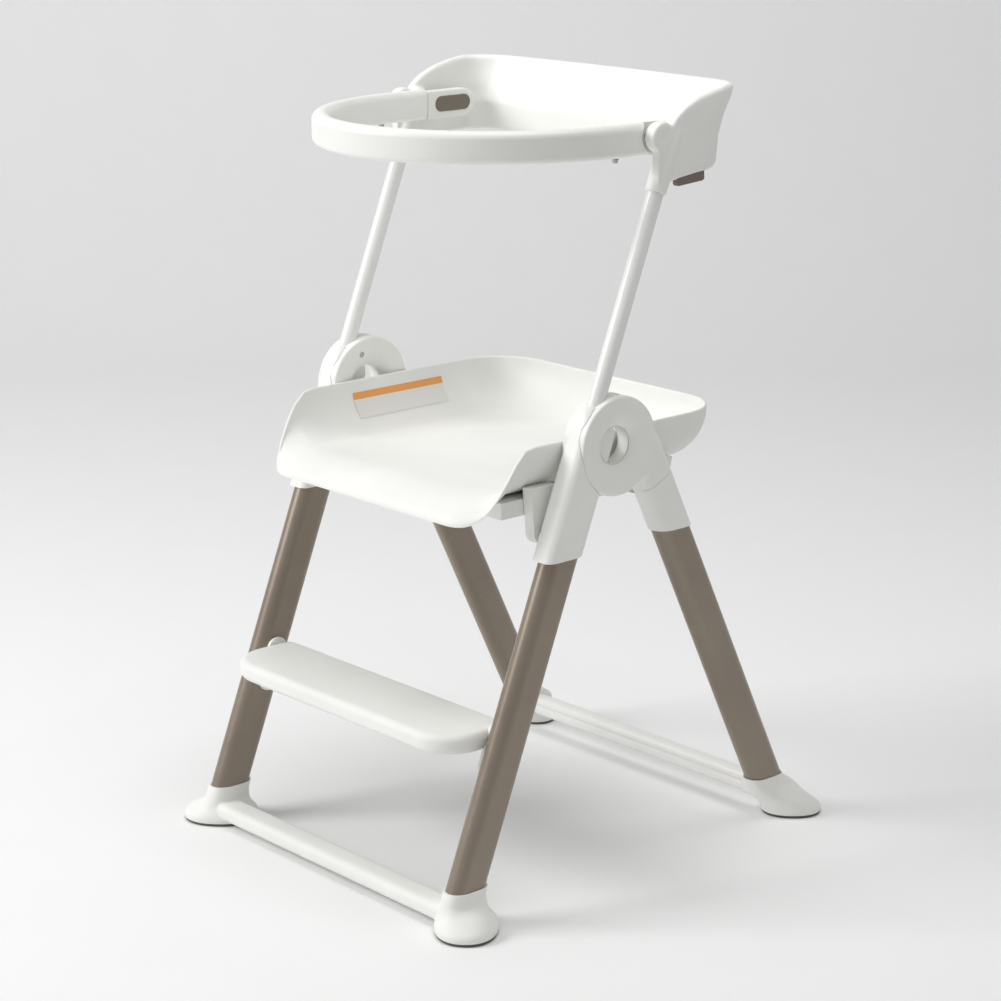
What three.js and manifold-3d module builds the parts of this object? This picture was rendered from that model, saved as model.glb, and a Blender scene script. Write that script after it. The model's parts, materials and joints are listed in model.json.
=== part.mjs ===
// Folding toddler tower with a moulded platform, a fixed step and a lifting guard rail.
// Millimetres, +Z up, origin on the floor under the middle of the footprint, front towards -Y.
import * as THREE from 'three';
import * as BufferGeometryUtils from 'three/addons/utils/BufferGeometryUtils.js';
import Module from 'manifold-3d';

const wasm = await Module();
wasm.setup();

// ---------- driving dimensions ----------
const CLEARANCE = 0.3;

const RAIL_X = 227;
const HUB_Y = -46;
const HUB_Z = 539.5;
// Turns about X from upright: the front rails lean back, the rear rails lean forward.
const FRONT_TURN = THREE.MathUtils.degToRad(-21.5);
const REAR_TURN = THREE.MathUtils.degToRad(26.2);
const FRONT_AXIS = -30.8;
const REAR_AXIS = 39.5;
const POST_AXIS = -40.6;

const LEG = { width: 30, depth: 49, wall: 2 };
const FRONT_SLEEVE = { width: 35, depth: 58, corner: 10, rearCorner: 17.4, bottom: 418 };
const REAR_SLEEVE = { width: 35, depth: 54, corner: 17.4, bottom: 421 };
const SLEEVE_INSERT = 60;
const FRONT_BOOT_INSERT = 24;
const REAR_BOOT_INSERT = 12;
const FRONT_BOOT_TOP = 48.5;
const REAR_BOOT_TOP = 56.5;

const DISC = { radius: 57.8, inner: -19, outer: 17.5, hole: 22, dish: 42, dishDepth: 9 };
const PLATE_HALF = 8;
const BUSH_RADIUS = 29;
const RIM_START = THREE.MathUtils.degToRad(52);
const RIM_END = THREE.MathUtils.degToRad(177);
const COVER_SEAM = -78.3;
const HUB_SCREW = { radius: 3.6, depth: 4, y: 4, z: 41 };

const POST = { radius: 10, wall: 1.6, bottom: 34, top: 292, end: 333, plug: 34 };

const PAD = { height: 3.2, draft: 1 };
// Plan rings of a foot from the floor up. Each toe points outwards, along its heading.
const FRONT_TOE = -Math.PI / 4;
const REAR_TOE = Math.PI / 4;
const ALONG_Y = Math.PI / 2;
const FRONT_FOOT_RINGS = [
  { long: 45.5, wide: 36, heading: FRONT_TOE, x: 237, y: -280, z: 3.5 },
  { long: 47, wide: 37.5, heading: FRONT_TOE, x: 237, y: -280, z: 7 },
  { long: 44, wide: 36, heading: FRONT_TOE, x: 236, y: -279.5, z: 13 },
  { long: 34, wide: 30.5, heading: FRONT_TOE, x: 232, y: -278.5, z: 22 },
  { long: 30.5, wide: 19.5, heading: ALONG_Y, x: 228, y: -277, z: 32 },
];
const REAR_FOOT_RINGS = [
  { long: 37, wide: 29, heading: REAR_TOE, x: 241, y: 276, z: 3.5 },
  { long: 38.5, wide: 30.5, heading: REAR_TOE, x: 241, y: 276, z: 8 },
  { long: 38, wide: 30.5, heading: REAR_TOE, x: 239, y: 271, z: 15 },
  { long: 35, wide: 28, heading: REAR_TOE, x: 233, y: 261, z: 26 },
  { long: 32, wide: 20, heading: ALONG_Y, x: 228, y: 250, z: 40 },
];
const BOOT = { long: 28.8, wide: 17.4, heading: ALONG_Y, power: 2.6, x: RAIL_X };
const FOOT_SIDES = 20;
const FRONT_BAR = { y: -286, z: 18.5, depth: 36, height: 22, halfLength: 188 };
const REAR_BAR = { y: 241, z: 38, depth: 22, height: 28, halfLength: 197, groove: 3 };

const STEP = { halfX: 211, front: -288, back: -183, top: 225, thickness: 24, bevel: 8 };
const STEP_CORNER = { front: 50, back: 14 };
const BRACKET = { inner: 206, thickness: 5.6, halfWidth: 15, bottom: 166, top: 231 };

const TRAY = { halfX: 206, front: -233, back: 183, rim: 546, floor: 488, lip: 460, wall: 4, sweep: 55 };
const TRAY_CORNER = { front: 60, back: 72 };
const TRAY_RIM_END = -150;
const LABEL_STATIONS = [0.15, 0.35, 0.55];
const WALL_STATIONS = [0, ...LABEL_STATIONS, 0.77, 1];
const UNDERFRAME = { halfX: 187, front: -180, back: 95, top: 483.7, bottom: 464, wall: 3 };
const LUG = { inner: 188, outer: 203, top: 498 };
const PIVOT = { y: -128, z: 444, radius: 6, lugRadius: 15, lugSpread: 20 };
const ROD = { y: 58, z: 456, radius: 7 };
const LABEL = { back: 66, length: 149 };

const BACK = { halfX: 238, wall: 12, corner: 60, front: 18, bow: 6, bottom: 835, capTop: 903, top: 942 };
const BACK_PROFILE = [[828, 147], [852, 148.5], [884, 152], [906, 160], [926, 172], [946, 179]];
const BOSS = { y: 28, z: 890, radius: 18, inner: 220, outer: 237 };
const CAP = { radius: 12.5, shoulder: 366, top: 378 };
const PIN = { radius: 6, inner: 199, outer: 232 };

const GUARD = { outer: 219, thickness: 21, bottom: 868, top: 906, arcStart: -5, arcDepth: 238, corner: 8 };
const GUARD_ARM = { inner: 197, outer: 210.6, seam: 44, tip: 122 };
const BUTTON = { y: 85.5, z: 887, length: 58, height: 19, depth: 6.5, proud: 1.2, travel: 3 };
const GUARD_SCREW = { y: -24, radius: 4, height: 4.5 };
const TRIGGER_TILT = THREE.MathUtils.degToRad(4);
const TRIGGER = { y: 73, z: 839.5, length: 46, height: 13, width: 8, travel: 5 };

// ---------- materials ----------
function plastic(colour, roughness) {
  return new THREE.MeshStandardMaterial({ color: colour, roughness, metalness: 0 });
}

const whitePlastic = () => plastic(0xeeefe9, 0.45);
const whitePost = () => new THREE.MeshStandardMaterial({ color: 0xe6e7e2, roughness: 0.4, metalness: 0.2 });
const taupeMetal = () => new THREE.MeshStandardMaterial({ color: 0x82786c, roughness: 0.38, metalness: 0.5 });
const taupePlastic = () => plastic(0x7d7569, 0.5);
const darkRubber = () => plastic(0x55524d, 0.8);
const steel = () => new THREE.MeshStandardMaterial({ color: 0x8a8a88, roughness: 0.35, metalness: 0.9 });
const labelPaper = () => plastic(0xf2efe6, 0.6);

// ---------- solids ----------
function solidOf(geometry) {
  const bare = geometry.clone();
  bare.deleteAttribute('normal');
  bare.deleteAttribute('uv');
  const merged = BufferGeometryUtils.mergeVertices(bare);
  return new wasm.Manifold(new wasm.Mesh({
    numProp: 3,
    vertProperties: new Float32Array(merged.getAttribute('position').array),
    triVerts: new Uint32Array(merged.index.array),
  }));
}

function geometryOf(solid) {
  const mesh = solid.getMesh();
  const geometry = new THREE.BufferGeometry();
  geometry.setAttribute('position', new THREE.BufferAttribute(new Float32Array(mesh.vertProperties), 3));
  geometry.setIndex(new THREE.BufferAttribute(new Uint32Array(mesh.triVerts), 1));
  geometry.computeVertexNormals();
  return geometry;
}

function join(...geometries) {
  return geometryOf(geometries.map(solidOf).reduce((whole, piece) => whole.add(piece)));
}

function cut(geometry, ...tools) {
  return geometryOf(tools.map(solidOf).reduce((whole, tool) => whole.subtract(tool), solidOf(geometry)));
}

function common(geometry, tool) {
  return geometryOf(solidOf(geometry).intersect(solidOf(tool)));
}

function mirrored(geometry) {
  const copy = geometry.clone();
  copy.scale(-1, 1, 1);
  const flat = copy.index ? copy.toNonIndexed() : copy;
  const position = flat.getAttribute('position');
  const turned = new Float32Array(position.count * 3);
  for (let i = 0; i < position.count; i += 3) {
    [0, 2, 1].forEach((from, to) => {
      turned.set([position.getX(i + from), position.getY(i + from), position.getZ(i + from)], (i + to) * 3);
    });
  }
  const result = new THREE.BufferGeometry();
  result.setAttribute('position', new THREE.BufferAttribute(turned, 3));
  const merged = BufferGeometryUtils.mergeVertices(result);
  merged.computeVertexNormals();
  return merged;
}

function signedVolume(points, faces) {
  return faces.reduce((sum, [a, b, c]) => {
    const normal = new THREE.Vector3().crossVectors(points[b], points[c]);
    return sum + points[a].dot(normal) / 6;
  }, 0);
}

function capFaces(ring) {
  const normal = new THREE.Vector3();
  ring.forEach((p, i) => normal.add(new THREE.Vector3().crossVectors(p, ring[(i + 1) % ring.length])));
  const sizes = normal.toArray().map(Math.abs);
  const drop = sizes.indexOf(Math.max(...sizes));
  const [u, v] = [0, 1, 2].filter((axis) => axis !== drop);
  const flat = ring.map((p) => new THREE.Vector2(p.getComponent(u), p.getComponent(v)));
  const area = THREE.ShapeUtils.area(flat);
  return THREE.ShapeUtils.triangulateShape(flat, []).map(([a, b, c]) => {
    const same = THREE.ShapeUtils.area([flat[a], flat[b], flat[c]]) * area > 0;
    return same ? [a, b, c] : [a, c, b];
  });
}

// A closed body through a row of rings that all have the same number of points.
function loft(rings) {
  const count = rings[0].length;
  const points = rings.flat();
  const faces = [];
  for (let k = 0; k + 1 < rings.length; k += 1) {
    for (let i = 0; i < count; i += 1) {
      const j = (i + 1) % count;
      const [a, b] = [k * count + i, k * count + j];
      faces.push([a, b, b + count], [a, b + count, a + count]);
    }
  }
  const last = (rings.length - 1) * count;
  capFaces(rings[0]).forEach(([a, b, c]) => faces.push([a, c, b]));
  capFaces(rings[rings.length - 1]).forEach(([a, b, c]) => faces.push([last + a, last + b, last + c]));
  if (signedVolume(points, faces) < 0) {
    faces.forEach((face) => face.reverse());
  }
  const geometry = new THREE.BufferGeometry().setFromPoints(points);
  geometry.setIndex(faces.flat());
  geometry.computeVertexNormals();
  return geometry;
}

function box(x0, x1, y0, y1, z0, z1) {
  const geometry = new THREE.BoxGeometry(x1 - x0, y1 - y0, z1 - z0);
  geometry.translate((x0 + x1) / 2, (y0 + y1) / 2, (z0 + z1) / 2);
  return geometry;
}

// ---------- outlines ----------
function obroundShape(width, depth) {
  const r = width / 2;
  const reach = depth / 2 - r;
  const shape = new THREE.Shape();
  shape.absarc(0, reach, r, 0, Math.PI);
  shape.absarc(0, -reach, r, Math.PI, 2 * Math.PI);
  shape.closePath();
  return shape;
}

function roundedRectShape(halfX, halfY, radii) {
  const [a, b, c, d] = radii;
  const shape = new THREE.Shape();
  shape.absarc(halfX - a, halfY - a, a, 0, Math.PI / 2);
  shape.absarc(-halfX + b, halfY - b, b, Math.PI / 2, Math.PI);
  shape.absarc(-halfX + c, -halfY + c, c, Math.PI, 1.5 * Math.PI);
  shape.absarc(halfX - d, -halfY + d, d, 1.5 * Math.PI, 2 * Math.PI);
  shape.closePath();
  return shape;
}

function ringAt(shape, divisions, place) {
  const points = shape.getPoints(divisions);
  const clean = points.filter((p, i) => i === 0 || p.distanceTo(points[i - 1]) > 1e-6);
  if (clean[0].distanceTo(clean[clean.length - 1]) < 1e-6) {
    clean.pop();
  }
  return clean.map(place);
}

function sectionRing({ halfX, halfY, corner, rearCorner = corner, x, y, z }) {
  const shape = roundedRectShape(halfX, halfY, [rearCorner, rearCorner, corner, corner]);
  return ringAt(shape, 2, (p) => new THREE.Vector3(p.x + x, p.y + y, z));
}

// Superelliptic ring whose long axis follows the heading.
function footRing({ long, wide, heading, power = 2.2, x, y, z }) {
  return Array.from({ length: FOOT_SIDES }, (_, i) => {
    const angle = (i / FOOT_SIDES) * 2 * Math.PI;
    const along = Math.abs(Math.cos(angle - heading)) / long;
    const aside = Math.abs(Math.sin(angle - heading)) / wide;
    const reach = (along ** power + aside ** power) ** (-1 / power);
    return new THREE.Vector3(x + reach * Math.cos(angle), y + reach * Math.sin(angle), z);
  });
}

function obroundRing(width, depth, y, z, x = 0) {
  return ringAt(obroundShape(width, depth), 4, (p) => new THREE.Vector3(p.x + x, p.y + y, z));
}

// Shapes drawn as (y, z) become plates that lie across X.
const ACROSS = new THREE.Matrix4().makeBasis(
  new THREE.Vector3(0, 1, 0),
  new THREE.Vector3(0, 0, 1),
  new THREE.Vector3(1, 0, 0),
);

function plate(shape, x0, x1, bevel = 0, divisions = 8) {
  const geometry = new THREE.ExtrudeGeometry(shape, {
    depth: x1 - x0 - 2 * bevel,
    bevelEnabled: bevel > 0,
    bevelThickness: bevel,
    bevelSize: bevel,
    bevelOffset: -bevel,
    bevelSegments: 2,
    curveSegments: divisions,
  });
  geometry.translate(0, 0, x0 + bevel);
  geometry.applyMatrix4(ACROSS);
  return geometry;
}

function drum(radius, x0, x1, y = 0, z = 0, divisions = 24) {
  const shape = new THREE.Shape();
  shape.absarc(y, z, radius, 0, 2 * Math.PI);
  return plate(shape, x0, x1, 0, divisions / 2);
}

function prism(shape, z0, z1, y = 0, divisions = 4) {
  const options = { depth: z1 - z0, bevelEnabled: false, curveSegments: divisions };
  const geometry = new THREE.ExtrudeGeometry(shape, options);
  geometry.translate(0, y, z0);
  return geometry;
}

// ---------- placing ----------
const tower = new THREE.Group();

function railGroup(turn) {
  const group = new THREE.Group();
  group.position.set(0, HUB_Y, HUB_Z);
  group.rotation.x = turn;
  tower.add(group);
  return group;
}

const frontRail = railGroup(FRONT_TURN);
const rearRail = railGroup(REAR_TURN);

function add(parent, name, geometry, material, x = 0, y = 0, z = 0, turnX = 0) {
  const mesh = new THREE.Mesh(geometry, material);
  mesh.name = name;
  mesh.position.set(x, y, z);
  mesh.rotation.x = turnX;
  parent.add(mesh);
}

function addPair(parent, name, geometry, material, x = 0, y = 0, z = 0, turnX = 0) {
  add(parent, `${name}_R`, geometry, material(), x, y, z, turnX);
  add(parent, `${name}_L`, mirrored(geometry), material(), -x, y, z, turnX);
}

// A point of the rail's own frame, as a height along the rail, for a world height on its axis.
function alongRail(turn, axis, height) {
  return (height - HUB_Z - Math.sin(turn) * axis) / Math.cos(turn);
}

// The world depth of a rail's axis at a world height.
function railY(turn, axis, height) {
  return HUB_Y + Math.cos(turn) * axis - Math.sin(turn) * alongRail(turn, axis, height);
}

// World-horizontal slabs, turned into a rail's frame, that trim sleeves and tubes.
function slab(turn, z0, z1) {
  const geometry = box(-60, 60, -400, 400, z0 - HUB_Z, z1 - HUB_Z);
  geometry.rotateX(-turn);
  return geometry;
}

function onRail(geometry, turn) {
  geometry.rotateX(turn);
  geometry.translate(0, HUB_Y, HUB_Z);
  return geometry;
}

// ---------- legs ----------
const FRONT_LEG_BOTTOM = alongRail(FRONT_TURN, FRONT_AXIS, FRONT_BOOT_TOP) - FRONT_BOOT_INSERT;
const FRONT_LEG_TOP = alongRail(FRONT_TURN, FRONT_AXIS, FRONT_SLEEVE.bottom) + SLEEVE_INSERT;
const REAR_LEG_BOTTOM = alongRail(REAR_TURN, REAR_AXIS, REAR_BOOT_TOP) - REAR_BOOT_INSERT;
const REAR_LEG_TOP = alongRail(REAR_TURN, REAR_AXIS, REAR_SLEEVE.bottom) + SLEEVE_INSERT;

function legTube(axis, bottom, top) {
  const shape = obroundShape(LEG.width, LEG.depth);
  shape.holes.push(obroundShape(LEG.width - 2 * LEG.wall, LEG.depth - 2 * LEG.wall));
  return prism(shape, bottom, top, axis);
}

function legBore(axis, bottom, top) {
  return prism(obroundShape(LEG.width + 2 * CLEARANCE, LEG.depth + 2 * CLEARANCE), bottom, top, axis);
}

addPair(frontRail, 'front_leg', legTube(FRONT_AXIS, FRONT_LEG_BOTTOM, FRONT_LEG_TOP), taupeMetal, RAIL_X);
addPair(rearRail, 'rear_leg', legTube(REAR_AXIS, REAR_LEG_BOTTOM, REAR_LEG_TOP), taupeMetal, RAIL_X);

// ---------- hinge hubs ----------
function bevelledDisc(radius, x0, x1, bevel) {
  const profile = [
    new THREE.Vector2(0, x0),
    new THREE.Vector2(radius - bevel, x0),
    new THREE.Vector2(radius, x0 + bevel),
    new THREE.Vector2(radius, x1 - bevel),
    new THREE.Vector2(radius - bevel, x1),
    new THREE.Vector2(0, x1),
  ];
  const geometry = new THREE.LatheGeometry(profile, 28);
  geometry.rotateZ(-Math.PI / 2);
  return geometry;
}

// The ring-shaped hollow round the finger hole, from the face down to the bore.
function dish(face, direction) {
  const bottom = face - direction * DISC.dishDepth;
  const profile = [
    new THREE.Vector2(0, face + direction),
    new THREE.Vector2(DISC.dish + 1, face + direction),
    new THREE.Vector2(DISC.dish - 4, face - direction * 2),
    new THREE.Vector2(DISC.dish - 11, face - direction * 6),
    new THREE.Vector2(DISC.hole, bottom),
    new THREE.Vector2(0, bottom),
  ];
  const ordered = direction > 0 ? profile.reverse() : profile;
  const geometry = new THREE.LatheGeometry(ordered, 20);
  geometry.rotateZ(-Math.PI / 2);
  return geometry;
}

function frontSocket() {
  const bottom = alongRail(FRONT_TURN, FRONT_AXIS, FRONT_SLEEVE.bottom) - 40;
  const shoulder = 12;
  const sleeveRing = (slim, z) => sectionRing({
    halfX: FRONT_SLEEVE.width / 2 - slim,
    halfY: FRONT_SLEEVE.depth / 2 - 2 * slim,
    corner: FRONT_SLEEVE.corner,
    rearCorner: FRONT_SLEEVE.rearCorner - slim,
    x: 0,
    y: FRONT_AXIS - slim,
    z,
  });
  const neck = { halfX: CAP.radius, halfY: CAP.radius + 2, corner: CAP.radius - 0.5, x: 0, y: POST_AXIS };
  const sleeve = loft([
    sleeveRing(0, bottom),
    sleeveRing(0, shoulder),
    sleeveRing(2.5, shoulder + 12),
    sectionRing({ ...neck, z: POST.bottom - CLEARANCE }),
  ]);
  const bore = 2 * (POST.radius - POST.wall - 0.5);
  const plug = prism(obroundShape(bore, bore + 0.05), 20, POST.bottom + POST.plug, POST_AXIS);
  const pocket = DISC.radius + 2 * CLEARANCE;
  const body = cut(
    join(sleeve, plug),
    drum(pocket, PLATE_HALF, 40, 0, 0, 28),
    drum(pocket, -40, -PLATE_HALF, 0, 0, 28),
    slab(FRONT_TURN, 200, FRONT_SLEEVE.bottom),
    legBore(FRONT_AXIS, bottom - 20, FRONT_LEG_TOP + 1),
  );
  const ring = drum(DISC.radius - 5.4, CLEARANCE - PLATE_HALF, PLATE_HALF - CLEARANCE, 0, 0, 24);
  return cut(join(body, ring), drum(BUSH_RADIUS + CLEARANCE, -20, 20));
}

function rearCasting() {
  const bottom = alongRail(REAR_TURN, REAR_AXIS, REAR_SLEEVE.bottom) - 40;
  const { width, depth, corner } = REAR_SLEEVE;
  const neckRing = (rear, front, z) => sectionRing({
    halfX: width / 2,
    halfY: (rear - front) / 2,
    corner: Math.min(corner, (rear - front) / 2 - 0.5),
    x: 0,
    y: (rear + front) / 2,
    z,
  });
  const front = REAR_AXIS - depth / 2;
  const rear = REAR_AXIS + depth / 2;
  const neck = loft([
    neckRing(rear, front, bottom),
    neckRing(rear, front, -36),
    neckRing(rear - 3, front - 6, -10),
    neckRing(rear - 11, front - 12, 10),
    neckRing(rear - 24, front - 17, 26),
  ]);
  return join(bevelledDisc(DISC.radius, DISC.inner, DISC.outer, 3), neck);
}

function rearTrimmed() {
  return cut(
    rearCasting(),
    drum(DISC.hole, -40, 40),
    dish(DISC.outer, 1),
    dish(DISC.inner, -1),
    drum(BUSH_RADIUS + CLEARANCE, -PLATE_HALF, PLATE_HALF),
    cutaway(),
    slab(REAR_TURN, 200, REAR_SLEEVE.bottom),
  );
}

// The middle plane keeps only the rim between the two window angles.
function cutaway() {
  const reach = DISC.radius + 12;
  const sweep = new THREE.Shape();
  const start = Math.PI / 2 - RIM_START;
  const end = Math.PI / 2 - RIM_END + 2 * Math.PI;
  sweep.moveTo(0, 0);
  sweep.absarc(0, 0, reach, start, end, false);
  sweep.closePath();
  return join(
    drum(DISC.radius - 4.4, -PLATE_HALF, PLATE_HALF, 0, 0, 24),
    plate(sweep, -PLATE_HALF, PLATE_HALF, 0, 8),
  );
}

function rearSocket(casting) {
  const bottom = alongRail(REAR_TURN, REAR_AXIS, REAR_SLEEVE.bottom);
  return cut(
    casting,
    box(PLATE_HALF, 60, -120, 160, COVER_SEAM - CLEARANCE, 120),
    legBore(REAR_AXIS, bottom - 40, REAR_LEG_TOP + 1),
    drum(HUB_SCREW.radius + CLEARANCE, -30, DISC.inner + HUB_SCREW.depth, HUB_SCREW.y, HUB_SCREW.z, 12),
  );
}

function hubCover(casting) {
  return common(casting, box(PLATE_HALF + CLEARANCE, 60, -120, 160, COVER_SEAM, 120));
}

const REAR_CASTING = rearTrimmed();

function bush() {
  const shape = new THREE.Shape();
  shape.absarc(0, 0, BUSH_RADIUS, 0, 2 * Math.PI);
  const hole = new THREE.Path();
  hole.absarc(0, 0, DISC.hole, 0, 2 * Math.PI);
  shape.holes.push(hole);
  return plate(shape, -PLATE_HALF + CLEARANCE, PLATE_HALF - CLEARANCE, 0, 10);
}

addPair(frontRail, 'front_socket', frontSocket(), whitePlastic, RAIL_X);
addPair(rearRail, 'rear_socket', rearSocket(REAR_CASTING), whitePlastic, RAIL_X);
addPair(rearRail, 'hub_cover', hubCover(REAR_CASTING), whitePlastic, RAIL_X);
addPair(rearRail, 'hub_bush', bush(), steel, RAIL_X);
addPair(
  rearRail,
  'hub_screw',
  drum(
    HUB_SCREW.radius,
    DISC.inner + 1,
    DISC.inner + HUB_SCREW.depth - CLEARANCE,
    HUB_SCREW.y,
    HUB_SCREW.z,
    12,
  ),
  steel,
  RAIL_X,
);

// ---------- posts ----------
function post() {
  const outer = obroundShape(2 * POST.radius, 2 * POST.radius + 0.02);
  outer.holes.push(obroundShape(2 * (POST.radius - POST.wall), 2 * (POST.radius - POST.wall) + 0.02));
  const tube = prism(outer, POST.bottom, POST.end, POST_AXIS, 6);
  return cut(tube, drum(DISC.radius + 3 * CLEARANCE, -30, 30, 0, 0, 28));
}

addPair(frontRail, 'post', post(), whitePost, RAIL_X);

// ---------- feet and floor bars ----------
const frontAxisY = (z) => railY(FRONT_TURN, FRONT_AXIS, z);
const rearAxisY = (z) => railY(REAR_TURN, REAR_AXIS, z);

function barBody(bar, x0, x1) {
  const radius = Math.min(bar.depth, bar.height) / 2 - 1;
  const shape = roundedRectShape(bar.depth / 2, bar.height / 2, [radius, radius, radius, radius]);
  const geometry = plate(shape, x0, x1, 0, 2);
  geometry.translate(0, bar.y, bar.z);
  return geometry;
}

function bootBore(turn, axis, bottom, top) {
  const bore = legBore(axis, bottom - 1, top);
  bore.translate(RAIL_X, 0, 0);
  return onRail(bore, turn);
}

function footBody(rings, y, z) {
  return loft([...rings, { ...BOOT, y, z }].map(footRing));
}

function frontFoot() {
  const body = footBody(FRONT_FOOT_RINGS, frontAxisY(FRONT_BOOT_TOP), FRONT_BOOT_TOP);
  const bar = barBody(FRONT_BAR, FRONT_BAR.halfLength + CLEARANCE, RAIL_X - 4);
  const bore = bootBore(FRONT_TURN, FRONT_AXIS, FRONT_LEG_BOTTOM, FRONT_LEG_TOP);
  return cut(join(body, bar), bore);
}

function rearFoot() {
  const body = footBody(REAR_FOOT_RINGS, rearAxisY(REAR_BOOT_TOP), REAR_BOOT_TOP);
  const wider = { ...REAR_BAR, depth: REAR_BAR.depth + 4, height: REAR_BAR.height + 3 };
  const collar = barBody(wider, REAR_BAR.halfLength + CLEARANCE, RAIL_X - 4);
  const bore = bootBore(REAR_TURN, REAR_AXIS, REAR_LEG_BOTTOM, REAR_LEG_TOP);
  return cut(join(body, collar), bore);
}

function rearBarBody() {
  const half = REAR_BAR.halfLength;
  const groove = new THREE.Shape();
  groove.absarc(-REAR_BAR.depth / 2 - 1, 0, REAR_BAR.groove + 1, 0, 2 * Math.PI);
  const channel = plate(groove, -half - 1, half + 1, 0, 5);
  channel.translate(0, REAR_BAR.y, REAR_BAR.z);
  return cut(barBody(REAR_BAR, -half, half), channel);
}

function footPad(base) {
  const { draft, height } = PAD;
  const drafted = { long: base.long - draft, wide: base.wide - draft };
  return loft([
    footRing({ ...base, ...drafted, z: 0 }),
    footRing({ ...base, z: draft }),
    footRing({ ...base, z: height }),
  ]);
}

addPair(tower, 'front_foot', frontFoot(), whitePlastic);
addPair(tower, 'rear_foot', rearFoot(), whitePlastic);
add(tower, 'front_bar', barBody(FRONT_BAR, -FRONT_BAR.halfLength, FRONT_BAR.halfLength), whitePlastic());
add(tower, 'rear_bar', rearBarBody(), whitePost());
addPair(tower, 'front_pad', footPad(FRONT_FOOT_RINGS[0]), darkRubber);
addPair(tower, 'rear_pad', footPad(REAR_FOOT_RINGS[0]), darkRubber);

// ---------- step ----------
function stepBracket(grow) {
  const z0 = alongRail(FRONT_TURN, FRONT_AXIS, BRACKET.bottom);
  const z1 = alongRail(FRONT_TURN, FRONT_AXIS, BRACKET.top);
  const half = BRACKET.halfWidth + grow;
  const shape = new THREE.Shape();
  shape.absarc(FRONT_AXIS, z1 - half, half, 0, Math.PI);
  shape.absarc(FRONT_AXIS, z0 + half, half, Math.PI, 2 * Math.PI);
  shape.closePath();
  const geometry = plate(shape, BRACKET.inner - grow, BRACKET.inner + BRACKET.thickness + grow, 0, 5);
  return onRail(geometry, FRONT_TURN);
}

function stepTread() {
  const halfY = (STEP.back - STEP.front) / 2;
  const { back, front } = STEP_CORNER;
  const { bevel } = STEP;
  const shape = roundedRectShape(STEP.halfX, halfY, [back, back, front, front]);
  const geometry = new THREE.ExtrudeGeometry(shape, {
    depth: STEP.thickness - 2 * bevel,
    bevelEnabled: true,
    bevelThickness: bevel,
    bevelSize: bevel,
    bevelOffset: -bevel,
    bevelSegments: 2,
    curveSegments: 4,
  });
  geometry.translate(0, (STEP.back + STEP.front) / 2, STEP.top - STEP.thickness + bevel);
  const grown = stepBracket(CLEARANCE);
  return cut(geometry, grown, mirrored(grown));
}

add(tower, 'step_tread', stepTread(), whitePlastic());
addPair(tower, 'step_bracket', stepBracket(0), whitePlastic);

// ---------- platform ----------
function trayOutline(inset) {
  const halfX = TRAY.halfX - inset;
  const y0 = TRAY.front + inset;
  const y1 = TRAY.back - inset;
  const back = TRAY_CORNER.back - inset;
  const front = TRAY_CORNER.front - inset;
  const arc = (cx, cy, r, from) => Array.from({ length: 7 }, (_, i) => {
    const angle = from + (i / 6) * Math.PI / 2;
    return new THREE.Vector2(cx + r * Math.cos(angle), cy + r * Math.sin(angle));
  });
  const sideEnd = TRAY.front + TRAY_CORNER.front;
  const side = [0, 0.35, 0.7].map((t) => THREE.MathUtils.lerp(TRAY_RIM_END, sideEnd, t));
  return [
    ...arc(halfX - back, y1 - back, back, 0),
    ...arc(-halfX + back, y1 - back, back, Math.PI / 2),
    ...side.map((y) => new THREE.Vector2(-halfX, y)),
    ...arc(-halfX + front, y0 + front, front, Math.PI),
    ...arc(halfX - front, y0 + front, front, 1.5 * Math.PI),
    ...side.reverse().map((y) => new THREE.Vector2(halfX, y)),
  ];
}

function rimHeight(y) {
  const t = THREE.MathUtils.clamp((TRAY_RIM_END - y) / (TRAY_RIM_END - TRAY.front), 0, 1);
  return TRAY.rim - (TRAY.rim - TRAY.lip) * t * t * (3 - 2 * t);
}

// Rings down a quarter-ellipse wall, from the rim to the floor, for the inner or the outer skin.
function traySkin(thickness, floor) {
  const outer = trayOutline(0);
  const reach = TRAY.sweep - thickness;
  return WALL_STATIONS.map((t) => {
    const angle = t * Math.PI / 2;
    const inset = thickness + reach * (1 - Math.cos(angle));
    return trayOutline(inset).map((p, i) => {
      const rim = rimHeight(outer[i].y);
      return new THREE.Vector3(p.x, p.y, rim - (rim - floor) * Math.sin(angle));
    });
  });
}

function trayShell() {
  return loft([...traySkin(0, TRAY.floor - TRAY.wall).reverse(), ...traySkin(TRAY.wall, TRAY.floor)]);
}

function underframe() {
  const { halfX, front, back, top, bottom, wall } = UNDERFRAME;
  const pitch = (2 * halfX - wall) / 3;
  const bays = [0, 1, 2].map((i) => {
    const x0 = -halfX + wall + i * pitch;
    return box(x0, x0 + pitch - wall, front + wall, back - wall, bottom - 5, top - wall);
  });
  return cut(box(-halfX, halfX, front, back, bottom, top), ...bays);
}

function pivotLug() {
  const spread = PIVOT.lugSpread;
  const shape = new THREE.Shape();
  shape.moveTo(PIVOT.y + spread, LUG.top);
  shape.lineTo(PIVOT.y - spread, LUG.top);
  shape.absarc(PIVOT.y, PIVOT.z, PIVOT.lugRadius, Math.PI, 2 * Math.PI);
  shape.closePath();
  const hole = new THREE.Path();
  hole.absarc(PIVOT.y, PIVOT.z, PIVOT.radius + CLEARANCE, 0, 2 * Math.PI);
  shape.holes.push(hole);
  return plate(shape, LUG.inner, LUG.outer, 0, 10);
}

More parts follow.
